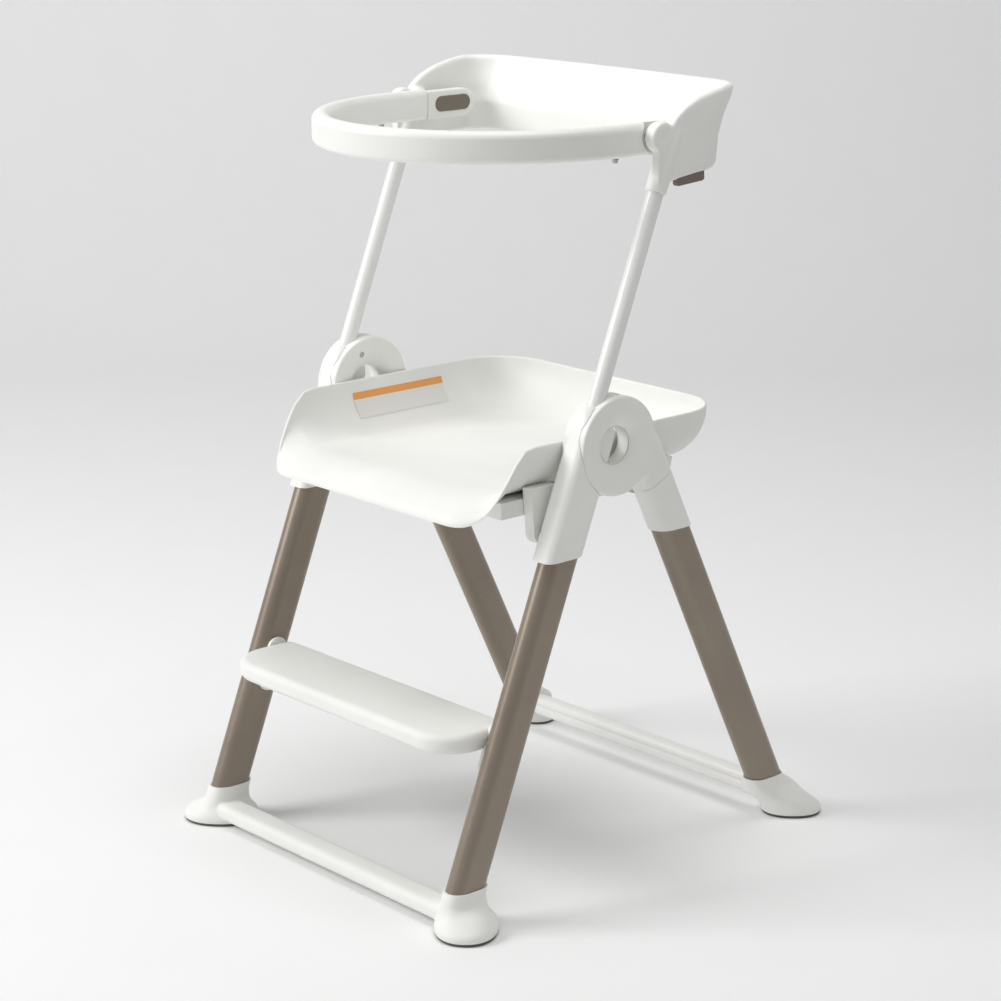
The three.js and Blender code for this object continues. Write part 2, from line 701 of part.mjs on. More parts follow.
// A shallow saddle that rests over the support rod and lets it leave downwards.
function saddleLug() {
  const grip = THREE.MathUtils.degToRad(40);
  const r = ROD.radius + CLEARANCE + 0.1;
  const mouth = ROD.z + r * Math.sin(grip);
  const shape = new THREE.Shape();
  shape.moveTo(ROD.y + 26, LUG.top);
  shape.lineTo(ROD.y - 24, LUG.top);
  shape.lineTo(ROD.y - 17, mouth);
  shape.absarc(ROD.y, ROD.z, r, Math.PI - grip, grip, true);
  shape.lineTo(ROD.y + 17, mouth);
  shape.closePath();
  return plate(shape, LUG.inner, LUG.outer, 0, 6);
}

function label() {
  const reach = TRAY.sweep - TRAY.wall;
  const depth = TRAY.rim - TRAY.floor;
  const skin = (gap) => LABEL_STATIONS.map((t) => {
    const [c, d] = [Math.cos(t * Math.PI / 2), Math.sin(t * Math.PI / 2)];
    const x = -TRAY.halfX + TRAY.wall + reach * (1 - c) + gap * c;
    return new THREE.Vector2(x, TRAY.rim + (gap - depth) * d);
  });
  const shape = new THREE.Shape([...skin(CLEARANCE + 0.1), ...skin(1).reverse()]);
  const geometry = new THREE.ExtrudeGeometry(shape, { depth: LABEL.length, bevelEnabled: false });
  geometry.rotateX(Math.PI / 2);
  geometry.translate(0, LABEL.back, 0);
  return geometry;
}

const SLEEVE_FACE = RAIL_X - FRONT_SLEEVE.width / 2;

add(tower, 'tray', trayShell(), whitePlastic());
add(tower, 'tray_underframe', underframe(), whitePlastic());
addPair(tower, 'tray_pivot_lug', pivotLug(), whitePlastic);
addPair(tower, 'tray_saddle', saddleLug(), whitePlastic);
add(tower, 'tray_label', label(), labelPaper());
addPair(tower, 'tray_pin', drum(PIVOT.radius, LUG.inner - 1.5, SLEEVE_FACE - CLEARANCE, 0, 0, 12),
  steel, 0, PIVOT.y, PIVOT.z);
add(tower, 'support_rod', drum(ROD.radius, CLEARANCE - SLEEVE_FACE, SLEEVE_FACE - CLEARANCE, 0, 0, 12),
  steel(), 0, ROD.y, ROD.z);

// ---------- backrest ----------
function backOutline(rear, z) {
  const { halfX, wall, corner, front, bow } = BACK;
  const skin = (offset) => {
    const x = halfX - offset;
    const r = corner - offset;
    const y = rear - offset;
    const right = [new THREE.Vector3(x, front, z)];
    for (let i = 0; i <= 6; i += 1) {
      const angle = (i / 6) * Math.PI / 2;
      right.push(new THREE.Vector3(x - r + r * Math.cos(angle), y - r + r * Math.sin(angle), z));
    }
    right.push(new THREE.Vector3((x - r) * 0.5, y + bow * 0.75, z));
    const left = [...right].reverse().map((p) => new THREE.Vector3(-p.x, p.y, z));
    return [...right, new THREE.Vector3(0, y + bow, z), ...left];
  };
  return [...skin(0), ...skin(wall).reverse()];
}

const postAxisY = (z) => railY(FRONT_TURN, POST_AXIS, z);

// Side view of a wing: it starts inside the post's cap and sweeps up to the top edge.
function wingShape() {
  const { bottom, capTop, top } = BACK;
  const shape = new THREE.Shape();
  shape.moveTo(postAxisY(bottom) + CAP.radius - 2, bottom);
  shape.lineTo(112, bottom + 10);
  shape.quadraticCurveTo(150, bottom + 14, 200, bottom + 19);
  shape.lineTo(200, top);
  shape.lineTo(104, top);
  shape.bezierCurveTo(78, top - 1, 62, top - 18, postAxisY(capTop), capTop);
  shape.closePath();
  return shape;
}

function backrest() {
  const shell = loft(BACK_PROFILE.map(([z, rear]) => backOutline(rear, z)));
  const trimmed = common(shell, plate(wingShape(), -300, 300, 0, 8));
  const room = capBody(CLEARANCE);
  const slot = triggerBody(CLEARANCE, TRIGGER.travel + 0.6);
  return cut(trimmed, room, mirrored(room), slot, mirrored(slot));
}

// The socket on each post's top, which carries the guard rail's pivot boss.
function capBody(grow) {
  const r = CAP.radius + grow;
  const ring = (radius, z) => obroundRing(2 * radius, 2 * radius + 0.02, POST_AXIS, z, RAIL_X);
  const sleeve = onRail(loft([
    ring(r, POST.top + CLEARANCE - grow),
    ring(r + 0.5, POST.end),
    ring(r + 0.5, CAP.shoulder),
    ring(r - 4, CAP.top),
  ]), FRONT_TURN);
  const boss = drum(BOSS.radius + grow, BOSS.inner - grow, BOSS.outer + grow, BOSS.y, BOSS.z, 20);
  return join(sleeve, boss);
}

function postCap() {
  const bore = drum(PIN.radius + CLEARANCE, PIN.inner, PIN.outer + CLEARANCE, BOSS.y, BOSS.z, 12);
  const diameter = 2 * (POST.radius + CLEARANCE);
  const round = obroundShape(diameter, diameter + 0.02);
  const tube = prism(round, POST.top - 20, POST.end + CLEARANCE, POST_AXIS, 6);
  tube.translate(RAIL_X, 0, 0);
  return cut(capBody(0), bore, onRail(tube, FRONT_TURN));
}

function triggerBody(grow, extra) {
  const halfY = TRIGGER.length / 2 + grow;
  const halfZ = (TRIGGER.height + extra) / 2 + grow;
  const half = TRIGGER.width / 2 + grow;
  const middle = BACK.halfX - BACK.wall / 2;
  const geometry = plate(roundedRectShape(halfY, halfZ, [2, 2, 2, 2]), middle - half, middle + half, 0, 2);
  geometry.translate(0, 0, extra / 2);
  geometry.rotateX(TRIGGER_TILT);
  geometry.translate(0, TRIGGER.y, TRIGGER.z);
  return geometry;
}

add(tower, 'backrest', backrest(), whitePlastic());
addPair(tower, 'post_cap', postCap(), whitePlastic);
addPair(tower, 'fold_trigger', triggerBody(0, 0), taupePlastic);

// ---------- guard rail ----------
function guardPath() {
  const { outer, thickness, arcStart, arcDepth } = GUARD;
  const middle = outer - thickness / 2;
  const depth = arcDepth - thickness / 2;
  const sideways = new THREE.Vector2(1, 0);
  const straight = [GUARD_ARM.seam, BOSS.y].map((y) => [new THREE.Vector2(middle, y), sideways]);
  const arc = Array.from({ length: 25 }, (_, i) => {
    const angle = (i / 24) * Math.PI;
    const normal = new THREE.Vector2(Math.cos(angle) * depth, -Math.sin(angle) * middle).normalize();
    return [new THREE.Vector2(middle * Math.cos(angle), arcStart - depth * Math.sin(angle)), normal];
  });
  const across = (v) => new THREE.Vector2(-v.x, v.y);
  const back = [...straight].reverse().map(([p, n]) => [across(p), across(n)]);
  return [...straight, ...arc, ...back];
}

function guardBow() {
  const halfHeight = (GUARD.top - GUARD.bottom) / 2;
  const { corner } = GUARD;
  const section = roundedRectShape(GUARD.thickness / 2, halfHeight, [corner, corner, corner, corner]);
  const rings = guardPath().map(([p, n]) => ringAt(section, 1, (q) => new THREE.Vector3(
    p.x + n.x * q.x,
    p.y + n.y * q.x,
    GUARD.bottom + halfHeight + q.y,
  )));
  const bossRoom = drum(BOSS.radius + 3 * CLEARANCE, GUARD_ARM.outer - 1, 260, BOSS.y, BOSS.z, 20);
  const behind = box(GUARD_ARM.outer, 260, BOSS.y - 4, 90, GUARD.bottom - 5, GUARD.top + 5);
  const bore = drum(PIN.radius + CLEARANCE, PIN.inner - CLEARANCE, 260, BOSS.y, BOSS.z, 12);
  return cut(loft(rings), bossRoom, mirrored(bossRoom), behind, mirrored(behind), bore, mirrored(bore));
}

// The flat housing behind each arm, with the release button's pocket on its inner face.
function armBody() {
  const bottom = GUARD.bottom + 1;
  const top = GUARD.top - 2;
  const r = (top - bottom) / 2;
  const shape = new THREE.Shape();
  shape.moveTo(GUARD_ARM.seam + CLEARANCE, bottom);
  shape.lineTo(GUARD_ARM.tip - r, bottom);
  shape.absarc(GUARD_ARM.tip - r, (top + bottom) / 2, r, -Math.PI / 2, Math.PI / 2);
  shape.lineTo(GUARD_ARM.seam + CLEARANCE, top);
  shape.closePath();
  return plate(shape, GUARD_ARM.inner, GUARD_ARM.outer, 2, 5);
}

function buttonShape(grow) {
  const r = BUTTON.height / 2 + grow;
  const reach = BUTTON.length / 2 - BUTTON.height / 2;
  const shape = new THREE.Shape();
  shape.absarc(BUTTON.y + reach, BUTTON.z, r, -Math.PI / 2, Math.PI / 2);
  shape.absarc(BUTTON.y - reach, BUTTON.z, r, Math.PI / 2, 1.5 * Math.PI);
  shape.closePath();
  return shape;
}

function guardArm() {
  const face = GUARD_ARM.inner;
  const pocketEnd = face - BUTTON.proud + BUTTON.depth + BUTTON.travel + 0.5;
  const pocket = plate(buttonShape(CLEARANCE), face - 5, pocketEnd, 0, 5);
  return cut(armBody(), pocket);
}

function releaseButton() {
  const face = GUARD_ARM.inner - BUTTON.proud;
  return plate(buttonShape(0), face, face + BUTTON.depth, 0.8, 4);
}

function guardScrew() {
  const { radius, height } = GUARD_SCREW;
  const geometry = new THREE.CylinderGeometry(radius - 0.8, radius, height, 12);
  geometry.rotateX(-Math.PI / 2);
  return geometry;
}

add(tower, 'guard_bow', guardBow(), whitePlastic());
addPair(tower, 'guard_arm', guardArm(), whitePlastic);
addPair(tower, 'release_button', releaseButton(), taupePlastic);
addPair(tower, 'guard_pin', drum(PIN.radius, PIN.inner, PIN.outer, 0, 0, 12), steel, 0, BOSS.y, BOSS.z);
addPair(tower, 'guard_screw', guardScrew(), steel, GUARD.outer - GUARD.thickness / 2, GUARD_SCREW.y,
  GUARD.bottom - CLEARANCE - GUARD_SCREW.height / 2);

export default tower;
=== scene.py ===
"""Looks for the folding toddler tower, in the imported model's frame.

Lengths are millimetres until a mesh is made; lights and the camera are in metres.
"""
import json
import math

import bmesh
import bpy
from mathutils import Matrix, Vector


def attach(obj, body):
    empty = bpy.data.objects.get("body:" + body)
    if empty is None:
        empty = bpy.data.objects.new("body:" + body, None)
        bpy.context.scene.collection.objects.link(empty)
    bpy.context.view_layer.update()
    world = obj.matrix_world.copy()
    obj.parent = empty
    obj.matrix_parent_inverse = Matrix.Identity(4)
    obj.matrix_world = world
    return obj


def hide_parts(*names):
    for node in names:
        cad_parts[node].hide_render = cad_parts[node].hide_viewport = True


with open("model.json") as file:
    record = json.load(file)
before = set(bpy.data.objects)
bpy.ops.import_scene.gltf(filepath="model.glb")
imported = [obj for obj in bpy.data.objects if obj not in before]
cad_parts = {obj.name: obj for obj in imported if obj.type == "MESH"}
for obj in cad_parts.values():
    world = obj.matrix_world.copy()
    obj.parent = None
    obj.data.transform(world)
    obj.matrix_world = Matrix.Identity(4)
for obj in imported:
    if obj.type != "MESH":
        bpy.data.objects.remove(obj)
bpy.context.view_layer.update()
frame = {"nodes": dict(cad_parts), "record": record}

MM = 0.001
GAP = 0.3

# ---------- dimensions that the frame shares ----------
RAIL_X = 227
HUB_Y = -46
HUB_Z = 539.5
FRONT_TURN = math.radians(-21.5)
REAR_TURN = math.radians(26.2)
FRONT_AXIS = -30.8
REAR_AXIS = 39.5
POST_AXIS = -40.6
LEG_WIDTH, LEG_DEPTH = 30, 49
SLEEVE_WIDTH, SLEEVE_CORNER = 35, 17.4
FRONT_SLEEVE_DEPTH, FRONT_SLEEVE_BOTTOM = 58, 418
REAR_SLEEVE_DEPTH, REAR_SLEEVE_BOTTOM = 54, 421
LEG_INSERT = 60
FRONT_BOOT_TOP, REAR_BOOT_TOP, REAR_BOOT_DEPTH = 48.5, 56.5, 10
DISC_RADIUS, DISC_INNER, DISC_OUTER = 59.5, -19, 17.5
HOLE_RADIUS, DISH_RADIUS, DISH_DEPTH = 22, 43, 9
PLATE_HALF, PLATE_RADIUS = 8, DISC_RADIUS - 5.4
BUSH_RADIUS = 29
HUB_SCREW_RADIUS, HUB_SCREW_Y, HUB_SCREW_Z = 3.9, 4, 41
RIM_START, RIM_END = math.radians(52), math.radians(177)
COVER_SEAM = -78.3
POST_RADIUS, POST_WALL, POST_BOTTOM, POST_TOP, POST_END = 10, 1.6, 34, 292, 333
BOSS_Y, BOSS_Z, BOSS_RADIUS, BOSS_INNER, BOSS_OUTER = 28, 890, 18, 220, 237
GUARD_OUTER, GUARD_REACH, GUARD_THICKNESS, GUARD_BOTTOM, GUARD_TOP = 219, 238, 21, 868, 906
ARM_INNER, ARM_OUTER, ARM_SEAM, ARM_TIP = 197, 210.6, 44, 122
BUTTON_Y, BUTTON_Z, BUTTON_WIDTH, BUTTON_LENGTH = 85.5, 887, 19, 58
TRIGGER_Y, TRIGGER_Z, TRIGGER_HALF, TRIGGER_HEIGHT, TRIGGER_TRAVEL = 73, 839.5, 23, 13, 5.6
TRIGGER_TILT = math.radians(4)
BACK_HALF, BACK_WALL, BACK_CORNER, BACK_FRONT, BACK_BOW = 238, 12, 60, 18, 6
BACK_PROFILE = [(828, 147), (852, 148.5), (884, 152), (906, 160), (926, 172), (946, 179)]
TRAY_HALF, TRAY_FRONT, TRAY_BACK = 206, -233, 183
TRAY_RIM, TRAY_FLOOR, TRAY_LIP, TRAY_WALL, TRAY_SWEEP = 546, 488, 460, 4, 55
TRAY_RIM_END, TRAY_FRONT_CORNER, TRAY_BACK_CORNER = -150, 60, 72
LABEL_BACK, LABEL_FRONT, LABEL_PROUD = 66, -83, 0.55
STEP_HALF, STEP_FRONT, STEP_BACK, STEP_TOP, STEP_THICKNESS = 211, -288, -183, 225, 24
STEP_FRONT_CORNER, STEP_BACK_CORNER = 50, 14
BRACKET_INNER, BRACKET_OUTER, BRACKET_HALF, BRACKET_BOTTOM, BRACKET_TOP = 206, 211.6, 15, 166, 231
ROD_Y, ROD_Z, ROD_RADIUS = 58, 456, 7
# Boxes that cut a piece off reach this far past it.
FAR = 400


# ---------- small maths ----------
def mix(a, b, t):
    return a + (b - a) * t


def clamp(t):
    return max(0.0, min(1.0, t))


def smoothstep(t):
    t = clamp(t)
    return t * t * (3 - 2 * t)


def follow(points, x):
    """Value at x on the straight pieces between (x, value) points."""
    if x <= points[0][0]:
        return points[0][1]
    for (x0, v0), (x1, v1) in zip(points, points[1:]):
        if x <= x1:
            return mix(v0, v1, (x - x0) / (x1 - x0))
    return points[-1][1]


def clamp_index(i, count):
    return max(0, min(count - 1, i))


def catmull(a, b, c, d, t):
    """A smooth curve's point between b and c."""
    second = 2 * a - 5 * b + 4 * c - d
    third = 3 * b - a - 3 * c + d
    return 0.5 * (2 * b + (c - a) * t + second * t * t + third * t ** 3)


def along_rail(turn, axis, height):
    return (height - HUB_Z - math.sin(turn) * axis) / math.cos(turn)


def on_rail(turn, x, y, z):
    c, s = math.cos(turn), math.sin(turn)
    return Vector((x, HUB_Y + c * y - s * z, HUB_Z + s * y + c * z))


def rail_y(turn, axis, height):
    return on_rail(turn, 0, axis, along_rail(turn, axis, height)).y


# ---------- outlines, as lists of (u, v) ----------
def rounded(half_u, half_v, radii, steps=8):
    """Rounded rectangle; radii run from the +u +v corner counter-clockwise."""
    corners = [(1, 1, 0), (-1, 1, 1), (-1, -1, 2), (1, -1, 3)]
    out = []
    for (su, sv, quarter), r in zip(corners, radii):
        r = max(r, 0.01)
        for i in range(steps + 1):
            a = (quarter + i / steps) * math.pi / 2
            out.append((su * (half_u - r) + r * math.cos(a), sv * (half_v - r) + r * math.sin(a)))
    return out


def obround(width, depth, steps=12):
    r = width / 2
    return rounded(r, depth / 2, [r - 0.01] * 4, steps)


def circle(radius, steps=64):
    turns = [2 * math.pi * i / steps for i in range(steps)]
    return [(radius * math.cos(a), radius * math.sin(a)) for a in turns]


# ---------- closed bodies, as (points, faces) ----------
def loft(rings):
    count = len(rings[0])
    faces = []
    for k in range(len(rings) - 1):
        for i in range(count):
            a, b = k * count + i, k * count + (i + 1) % count
            faces.append((a, b, b + count, a + count))
    last = (len(rings) - 1) * count
    faces.append(tuple(range(count)))
    faces.append(tuple(range(last, last + count)))
    return [p for ring in rings for p in ring], faces


def roll(start, end, bevel, steps=5):
    """(position, inset) pairs from start to end, with a rounded edge at both ends."""
    if bevel <= 0:
        return [(start, 0), (end, 0)]
    turns = [i / steps * math.pi / 2 for i in range(steps + 1)]
    out = [(start + bevel * (1 - math.cos(a)), bevel * (1 - math.sin(a))) for a in turns]
    tail = [(end - (p - start), inset) for p, inset in reversed(out)]
    return out + tail


def across(outline, x0, x1, bevel=0, place=None):
    """A plate across X. outline(inset) gives (y, z) points."""
    place = place or (lambda x, y, z: Vector((x, y, z)))
    return loft([[place(x, y, z) for y, z in outline(inset)] for x, inset in roll(x0, x1, bevel)])


def spun(profile, steps, place):
    """A ring-shaped body turned round X from (x, radius) points; the profile closes on itself."""
    points, faces = [], []
    count = len(profile)
    for i in range(steps):
        a = 2 * math.pi * i / steps
        points += [place(x, r * math.cos(a), r * math.sin(a)) for x, r in profile]
    for i in range(steps):
        j = (i + 1) % steps
        for k in range(count):
            m = (k + 1) % count
            faces.append((i * count + k, j * count + k, j * count + m, i * count + m))
    return points, faces


def block(x0, x1, y0, y1, z0, z1, place=None):
    place = place or (lambda x, y, z: Vector((x, y, z)))
    ring = [(x0, y0), (x1, y0), (x1, y1), (x0, y1)]
    return loft([[place(x, y, z) for x, y in ring] for z in (z0, z1)])


# ---------- objects ----------
def make(name, *bodies):
    mesh = bpy.data.meshes.new(name)
    bm = bmesh.new()
    for points, faces in bodies:
        made = [bm.verts.new(p * MM) for p in points]
        for face in faces:
            bm.faces.new([made[i] for i in face])
    bmesh.ops.recalc_face_normals(bm, faces=bm.faces)
    bm.to_mesh(mesh)
    bm.free()
    obj = bpy.data.objects.new(name, mesh)
    bpy.context.scene.collection.objects.link(obj)
    return obj


def bake(obj):
    graph = bpy.context.evaluated_depsgraph_get()
    mesh = bpy.data.meshes.new_from_object(obj.evaluated_get(graph))
    obj.modifiers.clear()
    obj.data = mesh
    return obj


def melt(obj, voxel=1.4, rounds=8):
    """Joins overlapping bodies into one skin and rounds where they meet."""
    remesh = obj.modifiers.new("remesh", "REMESH")
    remesh.mode = "VOXEL"
    remesh.voxel_size = voxel * MM
    soften = obj.modifiers.new("soften", "SMOOTH")
    soften.factor = 0.5
    soften.iterations = rounds
    return bake(obj)


def carve(obj, *bodies):
    """Cuts each body from obj."""
    for body in bodies:
        tool = make("cutting_tool", body)
        step = obj.modifiers.new("cut", "BOOLEAN")
        step.operation = "DIFFERENCE"
        step.solver = "EXACT"
        step.object = tool
        bake(obj)
        bpy.data.objects.remove(tool)
    return obj


def copy_of(obj, name):
    twin = bpy.data.objects.new(name, obj.data.copy())
    bpy.context.scene.collection.objects.link(twin)
    return twin


def finish_piece(obj, body, materials, nodes):
    obj.data.materials.clear()
    for m in materials:
        obj.data.materials.append(m)
    for face in obj.data.polygons:
        face.use_smooth = True
    obj.data.set_sharp_from_angle(angle=math.radians(38))
    weights = obj.modifiers.new("even_normals", "WEIGHTED_NORMAL")
    weights.keep_sharp = True
    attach(obj, body)
    if nodes:
        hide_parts(*nodes)


def single(obj, body, slot, material, *nodes):
    finish_piece(obj, body, [material], nodes)


def pair(obj, bodies, slot, material, *nodes):
    """obj is the +X piece of a pair; its mirror image is made for -X."""
    base = obj.name
    right_body, left_body = bodies if isinstance(bodies, tuple) else (bodies, bodies)
    left = copy_of(obj, f"{base}_left")
    left.data.transform(Matrix.Scale(-1, 4, (1, 0, 0)))
    left.data.flip_normals()
    obj.name = f"{base}_right"
    finish_piece(obj, right_body, [material], [f"{n}_R" for n in nodes])
    finish_piece(left, left_body, [material], [f"{n}_L" for n in nodes])


# ---------- materials ----------
TONE_SCALE, GLOSS_SPREAD = 9, 0.05


def linear(r, g, b):
    def one(c):
        c = c / 255
        return c / 12.92 if c <= 0.04045 else ((c + 0.055) / 1.055) ** 2.4
    return (one(r), one(g), one(b), 1)


def shaded(colour, factor):
    return (colour[0] * factor, colour[1] * factor, colour[2] * factor, 1)


def surface(name, colour, roughness, metallic=0.0, tone=0.03, grain=900, relief=0.05, stretch=(1, 1, 1),
            coat=0.0, speck=0.0):
    """Moulded or painted finish: slow colour drift, uneven gloss and a fine relief, all from noise."""
    mat = bpy.data.materials.new(name)
    mat.use_nodes = True
    nodes, links = mat.node_tree.nodes, mat.node_tree.links
    shader = nodes["Principled BSDF"]
    shader.inputs["Metallic"].default_value = metallic
    shader.inputs["IOR"].default_value = 1.47
    shader.inputs["Coat Weight"].default_value = coat
    shader.inputs["Coat Roughness"].default_value = 0.22
    where = nodes.new("ShaderNodeTexCoord")
    scaled = nodes.new("ShaderNodeMapping")
    scaled.inputs["Scale"].default_value = stretch
    links.new(where.outputs["Object"], scaled.inputs["Vector"])

    def noise(scale, detail):
        n = nodes.new("ShaderNodeTexNoise")
        n.inputs["Scale"].default_value = scale
        n.inputs["Detail"].default_value = detail
        links.new(scaled.outputs["Vector"], n.inputs["Vector"])
        return n.outputs["Fac"]

    def ramp(source, low, high, a, b):
        r = nodes.new("ShaderNodeMapRange")
        r.inputs["From Min"].default_value = a
        r.inputs["From Max"].default_value = b
        r.inputs["To Min"].default_value = low
        r.inputs["To Max"].default_value = high
        links.new(source, r.inputs["Value"])
        return r.outputs["Result"]

    blend = nodes.new("ShaderNodeMix")
    blend.data_type = "RGBA"
    blend.inputs["A"].default_value = shaded(colour, 1 - tone)
    blend.inputs["B"].default_value = shaded(colour, 1 + tone)
    links.new(ramp(noise(TONE_SCALE, 3), 0, 1, 0.3, 0.7), blend.inputs["Factor"])
    colour_out = blend.outputs["Result"]
    if speck:
        flecks = nodes.new("ShaderNodeMix")
        flecks.data_type = "RGBA"
        flecks.inputs["B"].default_value = shaded(colour, 1 + speck)
        links.new(ramp(noise(grain * 0.8, 1), 0, 1, 0.58, 0.72), flecks.inputs["Factor"])
        links.new(colour_out, flecks.inputs["A"])
        colour_out = flecks.outputs["Result"]
    links.new(colour_out, shader.inputs["Base Color"])
    gloss = ramp(noise(TONE_SCALE * 7, 4), roughness - GLOSS_SPREAD, roughness + GLOSS_SPREAD, 0.3, 0.7)
    links.new(gloss, shader.inputs["Roughness"])
    bump = nodes.new("ShaderNodeBump")
    bump.inputs["Strength"].default_value = relief
    bump.inputs["Distance"].default_value = 0.0004
    links.new(noise(grain, 2), bump.inputs["Height"])
    links.new(bump.outputs["Normal"], shader.inputs["Normal"])
    return mat


white = surface("white_plastic_moulded", linear(243, 243, 239), 0.42, grain=1300, relief=0.10)
white_soft = surface("white_plastic_textured", linear(241, 241, 237), 0.55, grain=1500, relief=0.22)
white_paint = surface("white_paint_on_tube", linear(240, 240, 237), 0.34, grain=700, relief=0.06, coat=0.25)
taupe_paint = surface("taupe_paint_on_tube", linear(143, 131, 117), 0.36, metallic=0.35, tone=0.05,
                      grain=1600, relief=0.12, coat=0.2, speck=0.22)
taupe = surface("taupe_plastic_textured", linear(122, 112, 100), 0.5, tone=0.05, grain=1600,
                relief=0.25)
rubber = surface("foot_rubber_ribbed", linear(96, 92, 87), 0.78, tone=0.08, grain=1100, relief=0.3)
steel = surface("steel_plain", linear(176, 176, 173), 0.33, metallic=0.9, tone=0.05, grain=500, relief=0.1,
                stretch=(1, 1, 6))
label_white = surface("label_film_white", linear(232, 231, 226), 0.5, tone=0.015, grain=900, relief=0.05)
label_band = surface("label_film_orange", linear(240, 167, 92), 0.5, tone=0.03, grain=900, relief=0.05)

SLOT_FINISH = {
    "white_plastic": white,
    "white_metal": white_paint,
    "taupe_metal": taupe_paint,
    "taupe_plastic": taupe,
    "foot_rubber": rubber,
    "hardware_steel": steel,
    "label_paper": label_white,
}
for part in frame["record"]["subparts"]:
    node = frame["nodes"][part["node"]]
    node.data.materials.clear()
    node.data.materials.append(SLOT_FINISH[part["material_slot"]])


# ---------- legs ----------
def leg(name, turn, axis, bottom, top):
    rings = []
    for z, inset in roll(bottom, top, 1.2, 3):
        outline = obround(LEG_WIDTH - 2 * inset, LEG_DEPTH - 2 * inset)
        rings.append([on_rail(turn, RAIL_X + u, axis + v, z) for u, v in outline])
    return make(name, loft(rings))


front_leg_bottom = along_rail(FRONT_TURN, FRONT_AXIS, FRONT_BOOT_TOP) - 14
front_leg_top = along_rail(FRONT_TURN, FRONT_AXIS, FRONT_SLEEVE_BOTTOM) + LEG_INSERT
rear_leg_bottom = along_rail(REAR_TURN, REAR_AXIS, REAR_BOOT_TOP) - 28
rear_leg_top = along_rail(REAR_TURN, REAR_AXIS, REAR_SLEEVE_BOTTOM) + LEG_INSERT
pair(leg("front_rail", FRONT_TURN, FRONT_AXIS, front_leg_bottom, front_leg_top), "front_frame", "taupe_metal",
     taupe_paint, "front_leg")
rear_rail = leg("rear_rail", REAR_TURN, REAR_AXIS, rear_leg_bottom, rear_leg_top)
carve(rear_rail, block(150, 320, 150, FAR, -40, REAR_BOOT_TOP - REAR_BOOT_DEPTH))
pair(rear_rail, "rear_frame", "taupe_metal", taupe_paint, "rear_leg")


def leg_room(turn, axis, bottom, top):
    outline = obround(LEG_WIDTH + 2 * GAP, LEG_DEPTH + 2 * GAP)
    return loft([[on_rail(turn, RAIL_X + u, axis + v, z) for u, v in outline] for z in (bottom, top)])


def level_room(turn, axis, z0, z1):
    """The same room between two level planes."""
    outline = obround(LEG_WIDTH + 2 * GAP, (LEG_DEPTH + 2 * GAP) / math.cos(turn))
    middles = [(rail_y(turn, axis, z), z) for z in (z0, z1)]
    return loft([[Vector((RAIL_X + u, y + v, z)) for u, v in outline] for y, z in middles])


def below(height):
    """Everything under a world height, near a rail."""
    return block(RAIL_X - 60, RAIL_X + 60, -FAR, FAR, height - 120, height)


# ---------- hubs ----------
def hub_place(turn):
    return lambda x, y, z: on_rail(turn, RAIL_X + x, y, z)


def hub_drum(turn, radius, x0, x1, bevel=0, y=0, z=0, steps=96):
    def outline(inset):
        return [(y + u, z + v) for u, v in circle(radius - inset, steps)]
    return across(outline, x0, x1, bevel, hub_place(turn))


def front_socket():
    place = hub_place(FRONT_TURN)
    bottom = along_rail(FRONT_TURN, FRONT_AXIS, FRONT_SLEEVE_BOTTOM) - 40

    def ring(z, half_x, front, rear, front_corner, rear_corner):
        radii = [rear_corner, rear_corner, front_corner, front_corner]
        outline = rounded(half_x, (rear - front) / 2, radii)
        return [place(u, (rear + front) / 2 + v, z) for u, v in outline]

    front = FRONT_AXIS - FRONT_SLEEVE_DEPTH / 2
    rear = FRONT_AXIS + FRONT_SLEEVE_DEPTH / 2
    half = SLEEVE_WIDTH / 2
    sleeve = loft([
        ring(bottom, half, front, rear, 11, SLEEVE_CORNER),
        ring(8, half, front, rear, 11, SLEEVE_CORNER),
        ring(16, half - 0.6, front + 0.4, rear - 3, 11, 16.8),
        ring(24, half - 2.4, front + 1.6, rear - 9, 12, 15),
        ring(31, half - 5, front + 3.6, rear - 17, 12.2, 12.2),
        ring(35, half - 6.6, front + 5.6, rear - 22, 10.8, 10.8),
    ])
    body = melt(make("front_socket", sleeve), 1.2, 6)
    carve(
        body,
        hub_drum(FRONT_TURN, DISC_RADIUS + 0.6, PLATE_HALF, 40),
        hub_drum(FRONT_TURN, DISC_RADIUS + 0.6, -40, -PLATE_HALF),
        below(FRONT_SLEEVE_BOTTOM),
        leg_room(FRONT_TURN, FRONT_AXIS, bottom - 20, front_leg_top + 1),
    )
    half_plate = PLATE_HALF - GAP
    disc = make("front_plate", hub_drum(FRONT_TURN, PLATE_RADIUS, -half_plate, half_plate, 0.8))
    carve(disc, hub_drum(FRONT_TURN, BUSH_RADIUS + GAP, -20, 20))
    return body, disc


def dish(face, direction):
    """The horn round the finger hole: flat at the face, then ever steeper into the bore."""
    lip, deep = DISH_RADIUS, DISH_DEPTH
    wall = [(0, lip), (0.25, lip - 3), (0.8, lip - 6.2), (1.7, lip - 9.4), (3, lip - 12.4), (4.6, lip - 15)]
    wall += [(6.4, lip - 17.2), (deep, HOLE_RADIUS + 1.6), (deep + 1, HOLE_RADIUS)]
    profile = [(face + direction * 6, 0), (face + direction * 6, lip + 0.4)]
    profile += [(face - direction * d, r) for d, r in wall]
    profile.append((face - direction * (deep + 1), 0))
    return profile


def solid_spin(profile, turn, steps=96):
    """A solid turned round the hub's axis; points on the axis only close it."""
    place = hub_place(turn)
    return loft([[place(x, u, v) for u, v in circle(r, steps)] for x, r in profile if r > 0])


